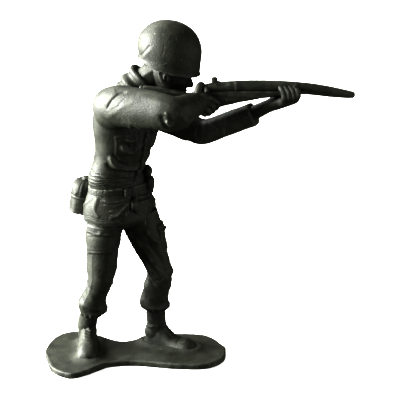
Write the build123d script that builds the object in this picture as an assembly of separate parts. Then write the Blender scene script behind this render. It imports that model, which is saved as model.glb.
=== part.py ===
from build123d import *
import math
import os

# Moulded toy rifleman on a dog-bone base, in millimetres. Every region that the mould cuts as a
# separate item of kit, dress or body is a solid of its own, and neighbours meet face to face.
# Frame: origin at the centre of the base's underside, +X the way the rifle points, +Z up,
# -Y the soldier's right-hand side. A yaw is how far a section is turned from +X towards -Y.

# Driving dimensions
BASE_THICKNESS = 2.6
BASE_EDGE_RADIUS = 0.7
BOOT_LENGTH = 23.5
BOOT_WIDTH = 8.6
RIGHT_FOOT_YAW = 87.0
LEFT_FOOT_YAW = 25.0
HIP_YAW = 58.0
CHEST_YAW = 42.0
HEM_Z = 65.0
WAIST_Z = 74.6
SHOULDER_Z = 121.0
BELT_HEIGHT = 4.0
BELT_THICKNESS = 0.8
HELMET_LENGTH = 27.4
HELMET_WIDTH = 23.2
HELMET_DEPTH = 18.6
HELMET_PITCH = 17.0
RIFLE_Y = -5.0
STOCK_THICKNESS = 4.4
GROOVE_Z = 121.0
MUZZLE_X = 90.6

# Joints of the body, each (X, Y, Z)
RIGHT_HIP = Vector(-12.6, 2.6, 62.0)
RIGHT_KNEE = Vector(-14.2, 1.6, 40.0)
RIGHT_CUFF = Vector(-18.9, 4.6, 22.5)
RIGHT_ANKLE = Vector(-21.4, 7.4, 11.5)
LEFT_HIP = Vector(1.8, 10.6, 61.0)
LEFT_KNEE = Vector(10.6, 8.2, 37.0)
LEFT_CUFF = Vector(8.2, 9.4, 22.0)
LEFT_ANKLE = Vector(8.7, 10.4, 11.5)
RIGHT_SHOULDER = Vector(-6.4, -7.0, 115.8)
RIGHT_ELBOW = Vector(16.9, -21.0, 115.6)
RIGHT_WRIST = Vector(25.6, -8.4, 115.2)
LEFT_SHOULDER = Vector(8.0, 14.0, 108.0)
LEFT_ELBOW = Vector(29.4, 8.2, 99.0)
LEFT_CUFF_END = Vector(50.2, 1.3, 108.9)
LEFT_WRIST = Vector(57.5, -2.0, 113.8)
RIGHT_TOE = Vector(-19.9, -9.4, BASE_THICKNESS)
LEFT_TOE = Vector(25.6, 2.6, BASE_THICKNESS)
HEAD_CENTRE = Vector(15.6, 3.0, 127.0)
RIM_CENTRE = Vector(15.2, 3.0, 128.9)

UP = Vector(0, 0, 1)
parts = {}


def between(start, end, share):
    """The point that share of the way from start to end."""
    return start + (end - start) * share


def front_of(yaw):
    """Level unit vector that a section with that yaw faces."""
    angle = math.radians(yaw)
    return Vector(math.cos(angle), -math.sin(angle), 0)


def right_of(yaw):
    """Level unit vector to the right-hand side of a section with that yaw."""
    return front_of(yaw).cross(UP)


def body_solid(sections):
    """A smooth solid through level ellipses (z, centre x, centre y, half width, half depth, yaw)."""
    faces = []
    for z, x, y, half_width, half_depth, yaw in sections:
        plane = Plane(origin=(x, y, z), x_dir=front_of(yaw), z_dir=(0, 0, 1))
        faces.append(plane * Ellipse(half_depth, half_width))
    return loft(faces)


def limb(points, radii):
    """One smooth solid through discs set across a limb at the points."""
    stations = []
    for i, point in enumerate(points):
        along = points[min(i + 1, len(points) - 1)] - points[max(i - 1, 0)]
        stations.append(Plane(origin=point, z_dir=along) * Circle(radii[i]))
    return loft(stations)


def ellipsoid(centre, half_x, half_y, half_z, pitch=0.0, yaw=0.0):
    """An ellipsoid by its half sizes, pitched nose down and then yawed."""
    unit = scale(Sphere(1.0), by=(half_x, half_y, half_z))
    return Pos(centre.X, centre.Y, centre.Z) * Rot(0, 0, -yaw) * Rot(0, pitch, 0) * unit


def patch(centre, facing_yaw, width, height, depth, tilt=0.0):
    """A block with rounded edges for a pocket or pouch, facing outwards at that yaw."""
    block = fillet(Box(depth, width, height).edges(), min(depth, width, height) * 0.22)
    return Pos(centre.X, centre.Y, centre.Z) * Rot(0, 0, -facing_yaw) * Rot(0, tilt, 0) * block


def trimmed(shape, *neighbours):
    """The largest solid left of a shape once its neighbours' room is cut out of it."""
    for neighbour in neighbours:
        shape = shape - neighbour
    return max(shape.solids(), key=lambda solid: solid.volume)


# Base: a plate with two round lobes and a narrow waist between the feet, round on its top edge
outline = [
    (-39.5, 3.0), (-36.0, 16.0), (-28.0, 21.5), (-18.5, 18.0), (-6.5, 10.8), (6.0, 16.2),
    (18.0, 18.8), (31.0, 16.8), (39.2, 4.5), (38.0, -6.0), (31.0, -12.2), (18.0, -12.4),
    (0.0, -9.4), (-12.0, -11.4), (-19.5, -18.2), (-27.0, -21.5), (-34.8, -15.5), (-38.2, -5.0),
]
base_plate = extrude(make_face(Spline(*outline, periodic=True)), BASE_THICKNESS)
top_rim = base_plate.faces().sort_by(Axis.Z)[-1].edges()
parts["base"] = fillet(top_rim, BASE_EDGE_RADIUS)


def boot(toe, ankle, shaft_top, yaw):
    """A laced boot: a foot lofted from heel to toe and cut flat under its sole, and a round shaft."""
    front = front_of(yaw)
    heel = toe - front * BOOT_LENGTH
    # share of the length, share of the half width, height above the sole
    stations = [
        (0.01, 0.55, 3.8), (0.10, 0.80, 6.4), (0.30, 0.84, 7.4), (0.52, 0.88, 5.4),
        (0.76, 1.00, 3.9), (0.93, 0.80, 3.1), (1.00, 0.42, 1.9),
    ]
    faces = []
    for along, width, height in stations:
        plane = Plane(origin=heel + front * (BOOT_LENGTH * along), x_dir=right_of(yaw), z_dir=front)
        faces.append(plane * Ellipse(BOOT_WIDTH / 2 * width, height))
    foot = split(loft(faces), bisect_by=Plane.XY.offset(BASE_THICKNESS), keep=Keep.TOP)
    below = ankle - (shaft_top - ankle) * 0.45
    return trimmed(foot + limb([below, ankle, shaft_top], [3.9, 3.7, 3.9]))


parts["right_boot"] = boot(RIGHT_TOE, RIGHT_ANKLE, RIGHT_CUFF, RIGHT_FOOT_YAW)
parts["left_boot"] = boot(LEFT_TOE, LEFT_ANKLE, LEFT_CUFF, LEFT_FOOT_YAW)


def trouser_leg(hip, knee, cuff, ankle, thigh_radius):
    """A loose trouser leg, bloused over the boot top."""
    points = [hip, between(hip, knee, 0.5), knee, between(knee, cuff, 0.6), cuff, between(cuff, ankle, 0.4)]
    return limb(points, [thigh_radius, 7.2, 6.1, 5.7, 6.1, 4.2])


# Trousers: the seat takes its room from the legs, and the boot tops stand inside the cuffs
seat = body_solid([
    (HEM_Z - 9.0, -4.6, 6.8, 7.0, 5.0, HIP_YAW),
    (HEM_Z - 5.0, -5.2, 6.6, 13.0, 9.0, HIP_YAW),
    (HEM_Z, -6.0, 6.4, 15.0, 10.4, HIP_YAW),
])
parts["trouser_seat"] = trimmed(seat)
right_leg = trouser_leg(RIGHT_HIP, RIGHT_KNEE, RIGHT_CUFF, RIGHT_ANKLE, 8.0)
left_leg = trouser_leg(LEFT_HIP, LEFT_KNEE, LEFT_CUFF, LEFT_ANKLE, 8.0)
parts["right_trouser_leg"] = trimmed(right_leg, seat, parts["right_boot"])
parts["left_trouser_leg"] = trimmed(left_leg, seat, parts["left_boot"], parts["right_trouser_leg"])

# Field jacket: a flared skirt below the belt and a bloused body above it
skirt = body_solid([
    (HEM_Z - 1.0, -6.2, 6.4, 17.0, 12.2, HIP_YAW),
    (HEM_Z + 4.0, -6.4, 6.2, 15.8, 11.0, HIP_YAW),
    (WAIST_Z, -6.6, 6.0, 13.8, 9.6, HIP_YAW - 2.0),
])
parts["jacket_skirt"] = trimmed(skirt, seat, right_leg, left_leg)
torso = body_solid([
    (WAIST_Z, -6.6, 6.0, 13.8, 9.6, HIP_YAW - 2.0),
    (82.0, -7.0, 6.0, 13.0, 9.2, 51.0),
    (88.0, -5.8, 6.0, 13.4, 9.6, 46.0),
    (98.0, -3.2, 5.6, 14.8, 10.6, CHEST_YAW),
    (107.0, -2.8, 5.2, 15.6, 10.0, CHEST_YAW),
    (114.0, -1.6, 5.0, 14.4, 8.4, CHEST_YAW),
    (SHOULDER_Z, 0.2, 5.0, 8.6, 6.4, CHEST_YAW),
])

# Rifle, on the level plane Y = RIFLE_Y: stock below the side groove, metal and handguard above it
stock_outline = [
    (3.0, 113.4), (3.4, 122.8), (12.0, 122.2), (23.0, 119.6), (29.0, GROOVE_Z), (66.0, GROOVE_Z),
    (66.0, 119.6), (48.0, 117.4), (36.0, 115.6), (30.5, 113.2), (24.0, 114.0), (14.0, 112.6),
]
far_face = Plane(origin=(0, RIFLE_Y + STOCK_THICKNESS / 2, 0), x_dir=(1, 0, 0), z_dir=(0, -1, 0))
stock = extrude(far_face * make_face(Polyline(*stock_outline, close=True)), STOCK_THICKNESS)
stock = chamfer(stock.edges().group_by(Axis.Y)[0] + stock.edges().group_by(Axis.Y)[-1], 0.7)
parts["rifle_stock"] = trimmed(stock)


def rifle_block(low, high, thickness, radius):
    """A round-edged block on the rifle's plane, from its (x, z) corners."""
    size_x, size_z = high[0] - low[0], high[1] - low[1]
    block = fillet(Box(size_x, thickness, size_z).edges(), radius)
    return Pos((low[0] + high[0]) / 2, RIFLE_Y, (low[1] + high[1]) / 2) * block


receiver = rifle_block((28.6, GROOVE_Z - 0.6), (42.0, 124.2), 3.6, 0.6)
parts["rifle_receiver"] = trimmed(receiver, stock)
sight = rifle_block((32.2, 123.4), (35.4, 126.2), 2.2, 0.5)
parts["rear_sight"] = trimmed(sight, receiver)
handguard = rifle_block((42.0, GROOVE_Z - 0.6), (66.0, 124.9), 4.0, 1.1)
parts["rifle_handguard"] = trimmed(handguard, stock, receiver)
barrel_path = [(66.0, 121.9), (74.0, 121.4), (82.0, 120.4), (MUZZLE_X, 118.9)]
barrel = limb([Vector(x, RIFLE_Y, z) for x, z in barrel_path], [2.1, 2.0, 1.8, 1.2])
parts["rifle_barrel"] = trimmed(barrel, stock, handguard)
guard_outside = rifle_block((30.6, 112.6), (35.8, 116.4), 2.0, 0.5)
guard_loop = guard_outside - rifle_block((31.5, 113.5), (34.9, 118.0), 3.0, 0.4)
parts["trigger_guard"] = trimmed(guard_loop, stock)
rifle = [stock, receiver, handguard, barrel, sight]

# Head and neck, with the cheek against the stock; helmet, collar and chin strap round it
skull = ellipsoid(HEAD_CENTRE, 8.8, 7.4, 9.6, HELMET_PITCH)
neck = limb([Vector(1.4, 5.0, 118.0), Vector(6.0, 4.2, 123.4), Vector(12.0, 3.4, 128.0)], [6.0, 5.2, 5.4])
nose = ellipsoid(Vector(24.0, 2.6, 124.0), 2.0, 1.3, 1.9, HELMET_PITCH)
bare_head = skull + neck + nose
parts["head"] = trimmed(bare_head, stock, torso)

# height above the rim, distance behind its centre, share of the length, share of the width
helmet_rings = [
    (0.0, 0.0, 0.96, 0.97), (1.6, 0.3, 0.94, 0.96), (5.2, 1.3, 0.98, 1.00), (9.0, 1.8, 0.965, 0.975),
    (13.0, 1.9, 0.84, 0.84), (16.6, 1.8, 0.58, 0.57), (HELMET_DEPTH - 0.5, 1.7, 0.27, 0.27),
    (HELMET_DEPTH, 1.7, 0.08, 0.08),
]
rim_up = Vector(math.sin(math.radians(HELMET_PITCH)), 0, math.cos(math.radians(HELMET_PITCH)))
rim_front = Vector(rim_up.Z, 0, -rim_up.X)
rings = []
for height, behind, length_share, width_share in helmet_rings:
    middle = RIM_CENTRE + rim_up * height - rim_front * behind
    plane = Plane(origin=middle, x_dir=rim_front, z_dir=rim_up)
    rings.append(plane * Ellipse(HELMET_LENGTH / 2 * length_share, HELMET_WIDTH / 2 * width_share))
parts["helmet"] = trimmed(loft(rings), bare_head)

collar_path = [Vector(-0.6, 5.4, 118.6), Vector(1.6, 5.0, 122.4), Vector(3.6, 4.6, 126.0)]
collar = limb(collar_path, [7.4, 6.2, 5.9])
parts["collar"] = trimmed(collar, torso, skull, neck, parts["helmet"], stock)

strap_line = Spline(
    (10.2, -5.2, 129.4), (11.6, -4.2, 124.0), (15.4, 3.0, 117.4), (11.6, 9.8, 124.0), (10.2, 11.2, 129.4)
)
strap_section = Plane(origin=strap_line @ 0, z_dir=strap_line % 0, x_dir=(1, 0, 0)) * Rectangle(1.7, 2.2)
strap = sweep(strap_section, path=strap_line)
parts["chin_strap"] = trimmed(strap, parts["head"], parts["helmet"], stock, collar)

parts["jacket_body"] = trimmed(torso, stock)

# Sleeves: the right one is folded at the elbow behind the trigger hand
right_sleeve = limb(
    [between(RIGHT_SHOULDER, RIGHT_ELBOW, -0.16), RIGHT_SHOULDER, between(RIGHT_SHOULDER, RIGHT_ELBOW, 0.5),
     between(RIGHT_SHOULDER, RIGHT_ELBOW, 0.92), between(RIGHT_ELBOW, RIGHT_WRIST, 0.45), RIGHT_WRIST],
    [4.6, 7.8, 7.8, 6.8, 5.9, 4.4],
)
parts["right_sleeve"] = trimmed(right_sleeve, torso, stock, collar)
left_sleeve = limb(
    [between(LEFT_SHOULDER, LEFT_ELBOW, -0.2), LEFT_SHOULDER, between(LEFT_SHOULDER, LEFT_ELBOW, 0.5),
     between(LEFT_SHOULDER, LEFT_ELBOW, 0.95), between(LEFT_ELBOW, LEFT_CUFF_END, 0.3),
     between(LEFT_ELBOW, LEFT_CUFF_END, 0.7) - UP * 0.8, LEFT_CUFF_END],
    [4.0, 7.0, 6.2, 5.2, 5.0, 5.1, 4.8],
)
parts["left_sleeve"] = trimmed(left_sleeve, torso)

# Hands, closed round the stock
right_palm = ellipsoid(Vector(29.4, -6.6, 116.6), 4.6, 3.6, 4.8, -20.0)
thumb_joints = [Vector(27.4, -6.6, 118.0), Vector(27.6, -5.6, 121.0), Vector(28.2, -4.4, 123.4)]
right_thumb = limb(thumb_joints, [1.7, 1.3, 1.0])
finger_joints = [Vector(31.0, -7.4, 115.4), Vector(33.2, -7.2, 114.4), Vector(34.6, -6.2, 113.6)]
right_fingers = limb(finger_joints, [2.2, 1.8, 1.3])
right_hand = right_palm + right_thumb + right_fingers
parts["right_hand"] = trimmed(right_hand, right_sleeve, *rifle, parts["trigger_guard"])
left_forearm = limb([LEFT_CUFF_END, LEFT_WRIST, Vector(61.0, -3.4, 115.6)], [3.2, 2.9, 3.2])
left_palm = ellipsoid(Vector(62.8, -4.6, 117.4), 5.2, 4.2, 3.8, -14.0)
parts["left_hand"] = trimmed(left_forearm + left_palm, left_sleeve, *rifle)

# Belt, buckle and what hangs from it
belt_sections = [
    (WAIST_Z - 0.4, -6.6, 6.0, 13.8, 9.7, HIP_YAW - 2.0),
    (WAIST_Z + BELT_HEIGHT / 2, -6.8, 6.0, 13.6, 9.5, HIP_YAW - 3.0),
    (WAIST_Z + BELT_HEIGHT, -6.9, 6.0, 13.4, 9.4, HIP_YAW - 4.0),
]
wider = [(z, x, y, w + BELT_THICKNESS, d + BELT_THICKNESS, yaw) for z, x, y, w, d, yaw in belt_sections]
belt = body_solid(wider)
parts["belt"] = trimmed(belt, torso, skirt)
belt_front = Vector(-6.7, 6.0, WAIST_Z + BELT_HEIGHT / 2) + front_of(HIP_YAW) * 10.4
buckle = patch(belt_front, HIP_YAW, 4.4, 3.4, 1.8)
parts["belt_buckle"] = trimmed(buckle, belt, torso, skirt)

canteen_centre = Vector(-22.8, 9.6, 72.0)
canteen_up = Vector(math.sin(math.radians(9)), 0, math.cos(math.radians(9)))
canteen_stations = [(-7.6, 0.70), (-6.6, 0.92), (-3.0, 1.0), (2.4, 1.0), (5.0, 0.84), (6.4, 0.46)]
canteen_faces = []
for height, share in canteen_stations:
    plane = Plane(origin=canteen_centre + canteen_up * height, x_dir=(0, 1, 0), z_dir=canteen_up)
    canteen_faces.append(plane * Ellipse(6.3 * share, 4.2 * share))
canteen = loft(canteen_faces)
parts["canteen"] = trimmed(canteen, skirt, belt, torso)
cap = limb([canteen_centre + canteen_up * 5.8, canteen_centre + canteen_up * 8.4], [1.8, 1.6])
parts["canteen_cap"] = trimmed(cap, canteen, belt, torso)

pouch_yaw = HIP_YAW - 78.0
pouch_middle = Vector(-6.6, 6.0, 77.0) + front_of(pouch_yaw) * 13.0
pouch = patch(pouch_middle, pouch_yaw, 8.0, 8.6, 4.4, 8.0)
parts["ammo_pouch"] = trimmed(pouch, belt, torso, skirt)
flap = patch(pouch_middle + UP * 4.9, pouch_yaw, 8.4, 4.6, 4.0, 8.0)
parts["ammo_pouch_flap"] = trimmed(flap, parts["jacket_body"], parts["ammo_pouch"], parts["belt"])


def pocket(name, middle, yaw, width, height, depth, tilt, *behind):
    """A patch pocket that stands proud of the cloth behind it."""
    parts[name] = trimmed(patch(middle, yaw, width, height, depth, tilt), *behind)


thigh_yaw = HIP_YAW + 52.0
right_thigh = between(RIGHT_HIP, RIGHT_KNEE, 0.56)
right_patch = right_thigh + front_of(thigh_yaw) * 6.2 + Vector(0.7, 0, 0.4)
pocket("right_thigh_pocket", right_patch, thigh_yaw, 11.0, 11.0, 4.0, -2.0, right_leg, skirt)
left_pocket_yaw = HIP_YAW - 88.0
left_thigh = between(LEFT_HIP, LEFT_KNEE, 0.36)
left_patch = left_thigh + front_of(left_pocket_yaw) * 5.2
pocket("left_thigh_pocket", left_patch, left_pocket_yaw, 11.0, 10.4, 4.4, -20.0, left_leg, skirt)
chest = Vector(-3.4, 5.6, 97.0)
right_breast = chest + front_of(CHEST_YAW + 38.0) * 11.4
pocket("right_breast_pocket", right_breast, CHEST_YAW + 34.0, 9.0, 8.6, 3.4, 4.0, torso)
left_breast = chest + front_of(CHEST_YAW - 38.0) * 10.7
pocket("left_breast_pocket", left_breast, CHEST_YAW - 34.0, 9.0, 8.6, 3.4, 4.0, torso)

os.makedirs("parts", exist_ok=True)
for name, solid in parts.items():
    export_step(solid, f"parts/{name}.step")
    print(name, round(solid.volume, 1), solid.is_valid)
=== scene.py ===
import bmesh
import bpy
import numpy as np
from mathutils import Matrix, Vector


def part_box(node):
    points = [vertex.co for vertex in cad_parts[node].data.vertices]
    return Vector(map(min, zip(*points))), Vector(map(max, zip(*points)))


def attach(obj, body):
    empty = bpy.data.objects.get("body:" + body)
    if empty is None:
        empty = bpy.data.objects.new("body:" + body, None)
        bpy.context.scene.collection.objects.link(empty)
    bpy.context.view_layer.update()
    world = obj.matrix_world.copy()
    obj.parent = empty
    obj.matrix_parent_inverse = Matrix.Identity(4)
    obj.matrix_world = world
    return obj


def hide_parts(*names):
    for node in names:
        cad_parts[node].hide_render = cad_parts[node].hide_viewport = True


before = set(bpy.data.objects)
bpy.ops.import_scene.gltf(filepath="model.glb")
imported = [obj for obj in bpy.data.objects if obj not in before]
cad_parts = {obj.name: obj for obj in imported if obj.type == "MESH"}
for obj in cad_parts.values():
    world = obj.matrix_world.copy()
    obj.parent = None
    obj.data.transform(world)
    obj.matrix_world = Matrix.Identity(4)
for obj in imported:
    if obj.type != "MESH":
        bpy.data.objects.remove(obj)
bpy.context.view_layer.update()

# ---- Base --------------------------------------------------------------------------------
# The flat dog-bone plate that the rifleman stands on. Figure and plate are one shot of dark olive
# polyethylene, so the plastic swells up in a soft fillet wherever a boot meets the plate.

MM = 0.001
BASE_EDGE = 0.75


def spot(node, x=0.5, y=0.5, z=0.5):
    """The point, in millimetres, at those shares of the way across a CAD node's box."""
    low, high = (np.array(corner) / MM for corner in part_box(node))
    return low + (high - low) * np.array([x, y, z])


def bell(x):
    """A bell curve: 1 in the middle, 0.37 one unit away and almost nothing two units away."""
    return np.exp(-(x**2))


def flowing(points, count, closed=False):
    """A curve through every row of points, evenly spaced. Between two points it is the cubic whose
    slope at each is half the step from the point before to the point after (Catmull-Rom)."""
    points = np.asarray(points, float)
    if closed:
        points = np.vstack([points[-1:], points, points[:2]])
    else:
        points = np.vstack([2 * points[0] - points[1], points, 2 * points[-1] - points[-2]])
    spans = len(points) - 3
    t = np.linspace(0, spans, spans * 24 + 1)
    i = np.minimum(t.astype(int), spans - 1)
    f = (t - i)[:, None]
    p0, p1, p2, p3 = points[i], points[i + 1], points[i + 2], points[i + 3]
    cubic = 3 * (p1 - p2) + p3 - p0
    square = 2 * p0 - 5 * p1 + 4 * p2 - p3
    fine = p1 + 0.5 * f * (p2 - p0 + f * (square + f * cubic))
    run = np.r_[0, np.cumsum(np.linalg.norm(np.diff(fine[:, :3], axis=0), axis=1))]
    even = np.linspace(0, run[-1], count, endpoint=not closed)
    return np.stack([np.interp(even, run, column) for column in fine.T], 1)


def wall(points):
    """The faces of a grid of points, rows from one end to the other, each row closed into a ring."""
    rows, columns = points.shape[:2]
    start = np.arange(rows - 1)[:, None] * columns
    here = np.arange(columns)[None]
    after = (here + 1) % columns
    quads = np.stack([start + here, start + after, start + columns + after, start + columns + here], -1)
    return quads.reshape(-1, 4)


def ring_mean(values, edges):
    """Each point's values averaged over the points that it shares an edge with."""
    share = np.bincount(edges.ravel(), minlength=len(values))
    total = [
        np.bincount(edges[:, 0], column[edges[:, 1]], len(values))
        + np.bincount(edges[:, 1], column[edges[:, 0]], len(values))
        for column in values.T
    ]
    return (np.array(total) / np.maximum(share, 1)).T


def olive_plastic():
    """Near-black olive polyethylene: a soft sheen that dulls in cloudy patches, a fine grain, pale
    rubbed edges where 'worn' is high, and a few dust specks and hair scratches from noise."""
    material = bpy.data.materials.new("olive_plastic")
    material.use_nodes = True
    nodes, link = material.node_tree.nodes, material.node_tree.links.new
    shader = nodes["Principled BSDF"]
    shader.inputs["Specular IOR Level"].default_value = 0.6
    place = nodes.new("ShaderNodeTexCoord").outputs["Object"]

    def noise(scale, detail, stretch=None, turn=(0.0, 0.0, 0.0)):
        texture = nodes.new("ShaderNodeTexNoise")
        texture.inputs["Scale"].default_value = scale
        texture.inputs["Detail"].default_value = detail
        if stretch:
            mapping = nodes.new("ShaderNodeMapping")
            mapping.inputs["Scale"].default_value = stretch
            mapping.inputs["Rotation"].default_value = turn
            link(place, mapping.inputs["Vector"])
            link(mapping.outputs["Vector"], texture.inputs["Vector"])
        else:
            link(place, texture.inputs["Vector"])
        return texture.outputs["Fac"]

    def band(value, low, high, bottom=0.0, top=1.0):
        step = nodes.new("ShaderNodeMapRange")
        step.inputs["From Min"].default_value = low
        step.inputs["From Max"].default_value = high
        step.inputs["To Min"].default_value = bottom
        step.inputs["To Max"].default_value = top
        link(value, step.inputs["Value"])
        return step.outputs["Result"]

    def combine(kind, first, second):
        sum_node = nodes.new("ShaderNodeMath")
        sum_node.operation = kind
        for socket, value in zip(sum_node.inputs, (first, second)):
            if isinstance(value, float):
                socket.default_value = value
            else:
                link(value, socket)
        return sum_node.outputs[0]

    def tint(share, first, second):
        mix = nodes.new("ShaderNodeMix")
        mix.data_type = "RGBA"
        link(share, mix.inputs["Factor"])
        for name, value in (("A", first), ("B", second)):
            socket = next(s for s in mix.inputs if s.name == name and s.type == "RGBA")
            if isinstance(value, tuple):
                socket.default_value = value
            else:
                link(value, socket)
        return next(s for s in mix.outputs if s.type == "RGBA")

    dark_olive, light_olive = (0.0165, 0.0184, 0.0124, 1.0), (0.036, 0.0393, 0.0275, 1.0)
    rubbed_pale, scratch_pale = (0.2, 0.205, 0.18, 1.0), (0.26, 0.265, 0.24, 1.0)
    cloudy = noise(240.0, 5.0)
    grit = noise(2600.0, 3.0)
    worn = nodes.new("ShaderNodeAttribute")
    worn.attribute_name = "worn"
    rubbed = combine("MULTIPLY", worn.outputs["Fac"], band(noise(420.0, 5.0), 0.42, 0.58))
    hair = band(noise(900.0, 2.0, (0.12, 1.0, 1.0), (0.0, 0.6, 0.5)), 0.71, 0.74)
    hair_2 = band(noise(800.0, 2.0, (1.0, 1.0, 0.1), (0.5, 0.4, 0.0)), 0.705, 0.735)
    scratched = combine("MULTIPLY", combine("MAXIMUM", hair, hair_2), band(cloudy, 0.5, 0.6))
    base = tint(band(cloudy, 0.35, 0.65), dark_olive, light_olive)
    dusty = combine("MULTIPLY", band(noise(1900.0, 2.0), 0.6, 0.72), band(noise(210.0, 3.0), 0.45, 0.6))
    base = tint(combine("MULTIPLY", dusty, 0.3), base, rubbed_pale)
    base = tint(combine("MULTIPLY", rubbed, 0.6), base, rubbed_pale)
    base = tint(combine("MULTIPLY", scratched, 0.7), base, scratch_pale)
    link(base, shader.inputs["Base Color"])
    rough = combine("ADD", band(cloudy, 0.3, 0.7, 0.56, 0.66), combine("MULTIPLY", rubbed, 0.1))
    link(rough, shader.inputs["Roughness"])
    coarse = combine("MULTIPLY", noise(1400.0, 3.0), 0.6)
    relief = combine("ADD", combine("MULTIPLY", grit, 0.5), coarse)
    bump = nodes.new("ShaderNodeBump")
    bump.inputs["Strength"].default_value = 0.5
    bump.inputs["Distance"].default_value = 0.4 * MM
    link(relief, bump.inputs["Height"])
    link(bump.outputs["Normal"], shader.inputs["Normal"])
    return material


OLIVE = olive_plastic()


def clean_mesh(name, verts, faces, unit, fill_holes=False):
    """A mesh from points and faces: points closer than 4 thousandths of a unit merged, open ends
    filled if asked, and every face turned outwards."""
    mesh = bpy.data.meshes.new(name)
    mesh.from_pydata((verts * unit).tolist(), [], faces.tolist())
    tidy = bmesh.new()
    tidy.from_mesh(mesh)
    bmesh.ops.remove_doubles(tidy, verts=tidy.verts, dist=0.004 * unit)
    if fill_holes:
        bmesh.ops.holes_fill(tidy, edges=tidy.edges, sides=0)
    bmesh.ops.recalc_face_normals(tidy, faces=tidy.faces)
    tidy.to_mesh(mesh)
    tidy.free()
    return mesh


def read(elements, field, width, kind=float):
    """One field of a mesh's points, edges or corners, as rows of 'width' numbers."""
    values = np.empty(len(elements) * width, kind)
    elements.foreach_get(field, values)
    return values.reshape(-1, width)


def cast(name, verts, faces, *nodes):
    """A finished piece from points in millimetres: smooth, in olive plastic, riding on the one body
    and standing for its nodes. 'worn' on a point is how far it bulges out of the points around
    it, for the pale rubbed edges."""
    mesh = clean_mesh(name, verts, faces, MM)
    place = read(mesh.vertices, "co", 3) / MM
    edges = read(mesh.edges, "vertices", 2, int)
    middle = place
    for _ in range(5):
        middle = ring_mean(middle, edges)
    bulge = ((place - middle) * read(mesh.vertices, "normal", 3)).sum(1)
    worn = mesh.attributes.new("worn", "FLOAT", "POINT")
    worn.data.foreach_set("value", np.clip(bulge / 0.16, 0, 1))
    mesh.polygons.foreach_set("use_smooth", np.ones(len(mesh.polygons), bool))
    mesh.materials.append(OLIVE)
    piece = bpy.data.objects.new(name, mesh)
    bpy.context.scene.collection.objects.link(piece)
    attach(piece, "root")
    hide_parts(*nodes)


def cast_grid(name, grid, *nodes):
    """A finished piece from one closed grid of points."""
    cast(name, grid.reshape(-1, 3), wall(grid), *nodes)


def from_line(place, start, end):
    """How far each point of 'place' is from the straight line between two points, and how far along
    that line it lies, from 0 to 1."""
    run = end - start
    along = np.clip(((place - start) * run).sum(-1) / (run * run).sum(), 0, 1)
    return np.linalg.norm(place - start - along[..., None] * run, axis=-1), along


outline = spot("base") + np.array([
    (-39.5, 3.0, 0), (-36.0, 16.0, 0), (-28.0, 21.5, 0), (-18.5, 18.0, 0), (-6.5, 10.8, 0), (6.0, 16.2, 0),
    (18.0, 18.8, 0), (31.0, 16.8, 0), (38.2, 6.6, 0), (39.4, 2.6, 0), (38.0, -6.0, 0), (31.0, -12.2, 0),
    (18.0, -12.4, 0), (0.0, -9.4, 0), (-12.0, -11.4, 0), (-19.5, -18.2, 0), (-27.0, -21.5, 0),
    (-34.8, -15.5, 0), (-38.2, -5.0, 0),
])
edge = flowing(outline, 560, closed=True)[:, :2]
along_edge = np.roll(edge, -1, 0) - np.roll(edge, 1, 0)
inward = np.stack([-along_edge[:, 1], along_edge[:, 0]], 1)
inward *= np.sign((inward * (spot("base")[:2] - edge)).sum()) / np.linalg.norm(inward, axis=1)[:, None]
base_top = spot("base", z=1)[2]
# From the underside's middle out to its rim, up over the rounded edge and back in over the top:
# (share of the way out from the middle, inset from the outline, height)
turn = np.linspace(0, np.pi / 2, 9)
rim = [(1.0, BASE_EDGE * (1 - np.cos(t)), base_top - BASE_EDGE * (1 - np.sin(t))) for t in turn]
foot = [(1.0, 0.3, 0.0), (1.0, 0.1, 0.1), (1.0, 0.0, 0.3), (1.0, 0.0, 1.0)]
under = [(share, 0.3, 0.0) for share in np.linspace(0, 0.98, 12)]
over = [(share, BASE_EDGE, base_top) for share in 1 - np.linspace(0.008, 1, 80)]
profile = np.array(under + foot + rim + over)
middle = spot("base")[:2]
flat = middle + (edge[None] + inward[None] * profile[:, 1, None, None] - middle) * profile[:, 0, None, None]
plate = np.concatenate([flat, np.broadcast_to(profile[:, 2, None, None], flat.shape[:2] + (1,))], 2)
SOLES = [
    (spot("right_boot", 0.50, 0.82, 0), spot("right_boot", 0.52, 0.18, 0)),
    (spot("left_boot", 0.14, 0.74, 0), spot("left_boot", 0.84, 0.28, 0)),
]
top = profile[:, 2] > base_top - 0.01
for heel, toe in SOLES:
    clear, _ = from_line(plate[top][..., :2], heel[:2], toe[:2])
    plate[top, :, 2] += 0.95 * bell(np.maximum(clear - 4.4, 0) / 2.2)
x, y = plate[top][..., 0], plate[top][..., 1]
plate[top, :, 2] += 0.07 * np.sin(0.35 * x + 1.3 * np.sin(0.21 * y)) * np.cos(0.31 * y + 0.6)
cast_grid("base_plate", plate, "base")

# ---- Boots -------------------------------------------------------------------------------
# Laced combat boots: a foot with a toe cap and a welted sole, a soft creased ankle, and a shaft
# that runs up inside the bloused trouser leg. Each is sculpted solid and grows out of the plate.

STEP = 0.3


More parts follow.
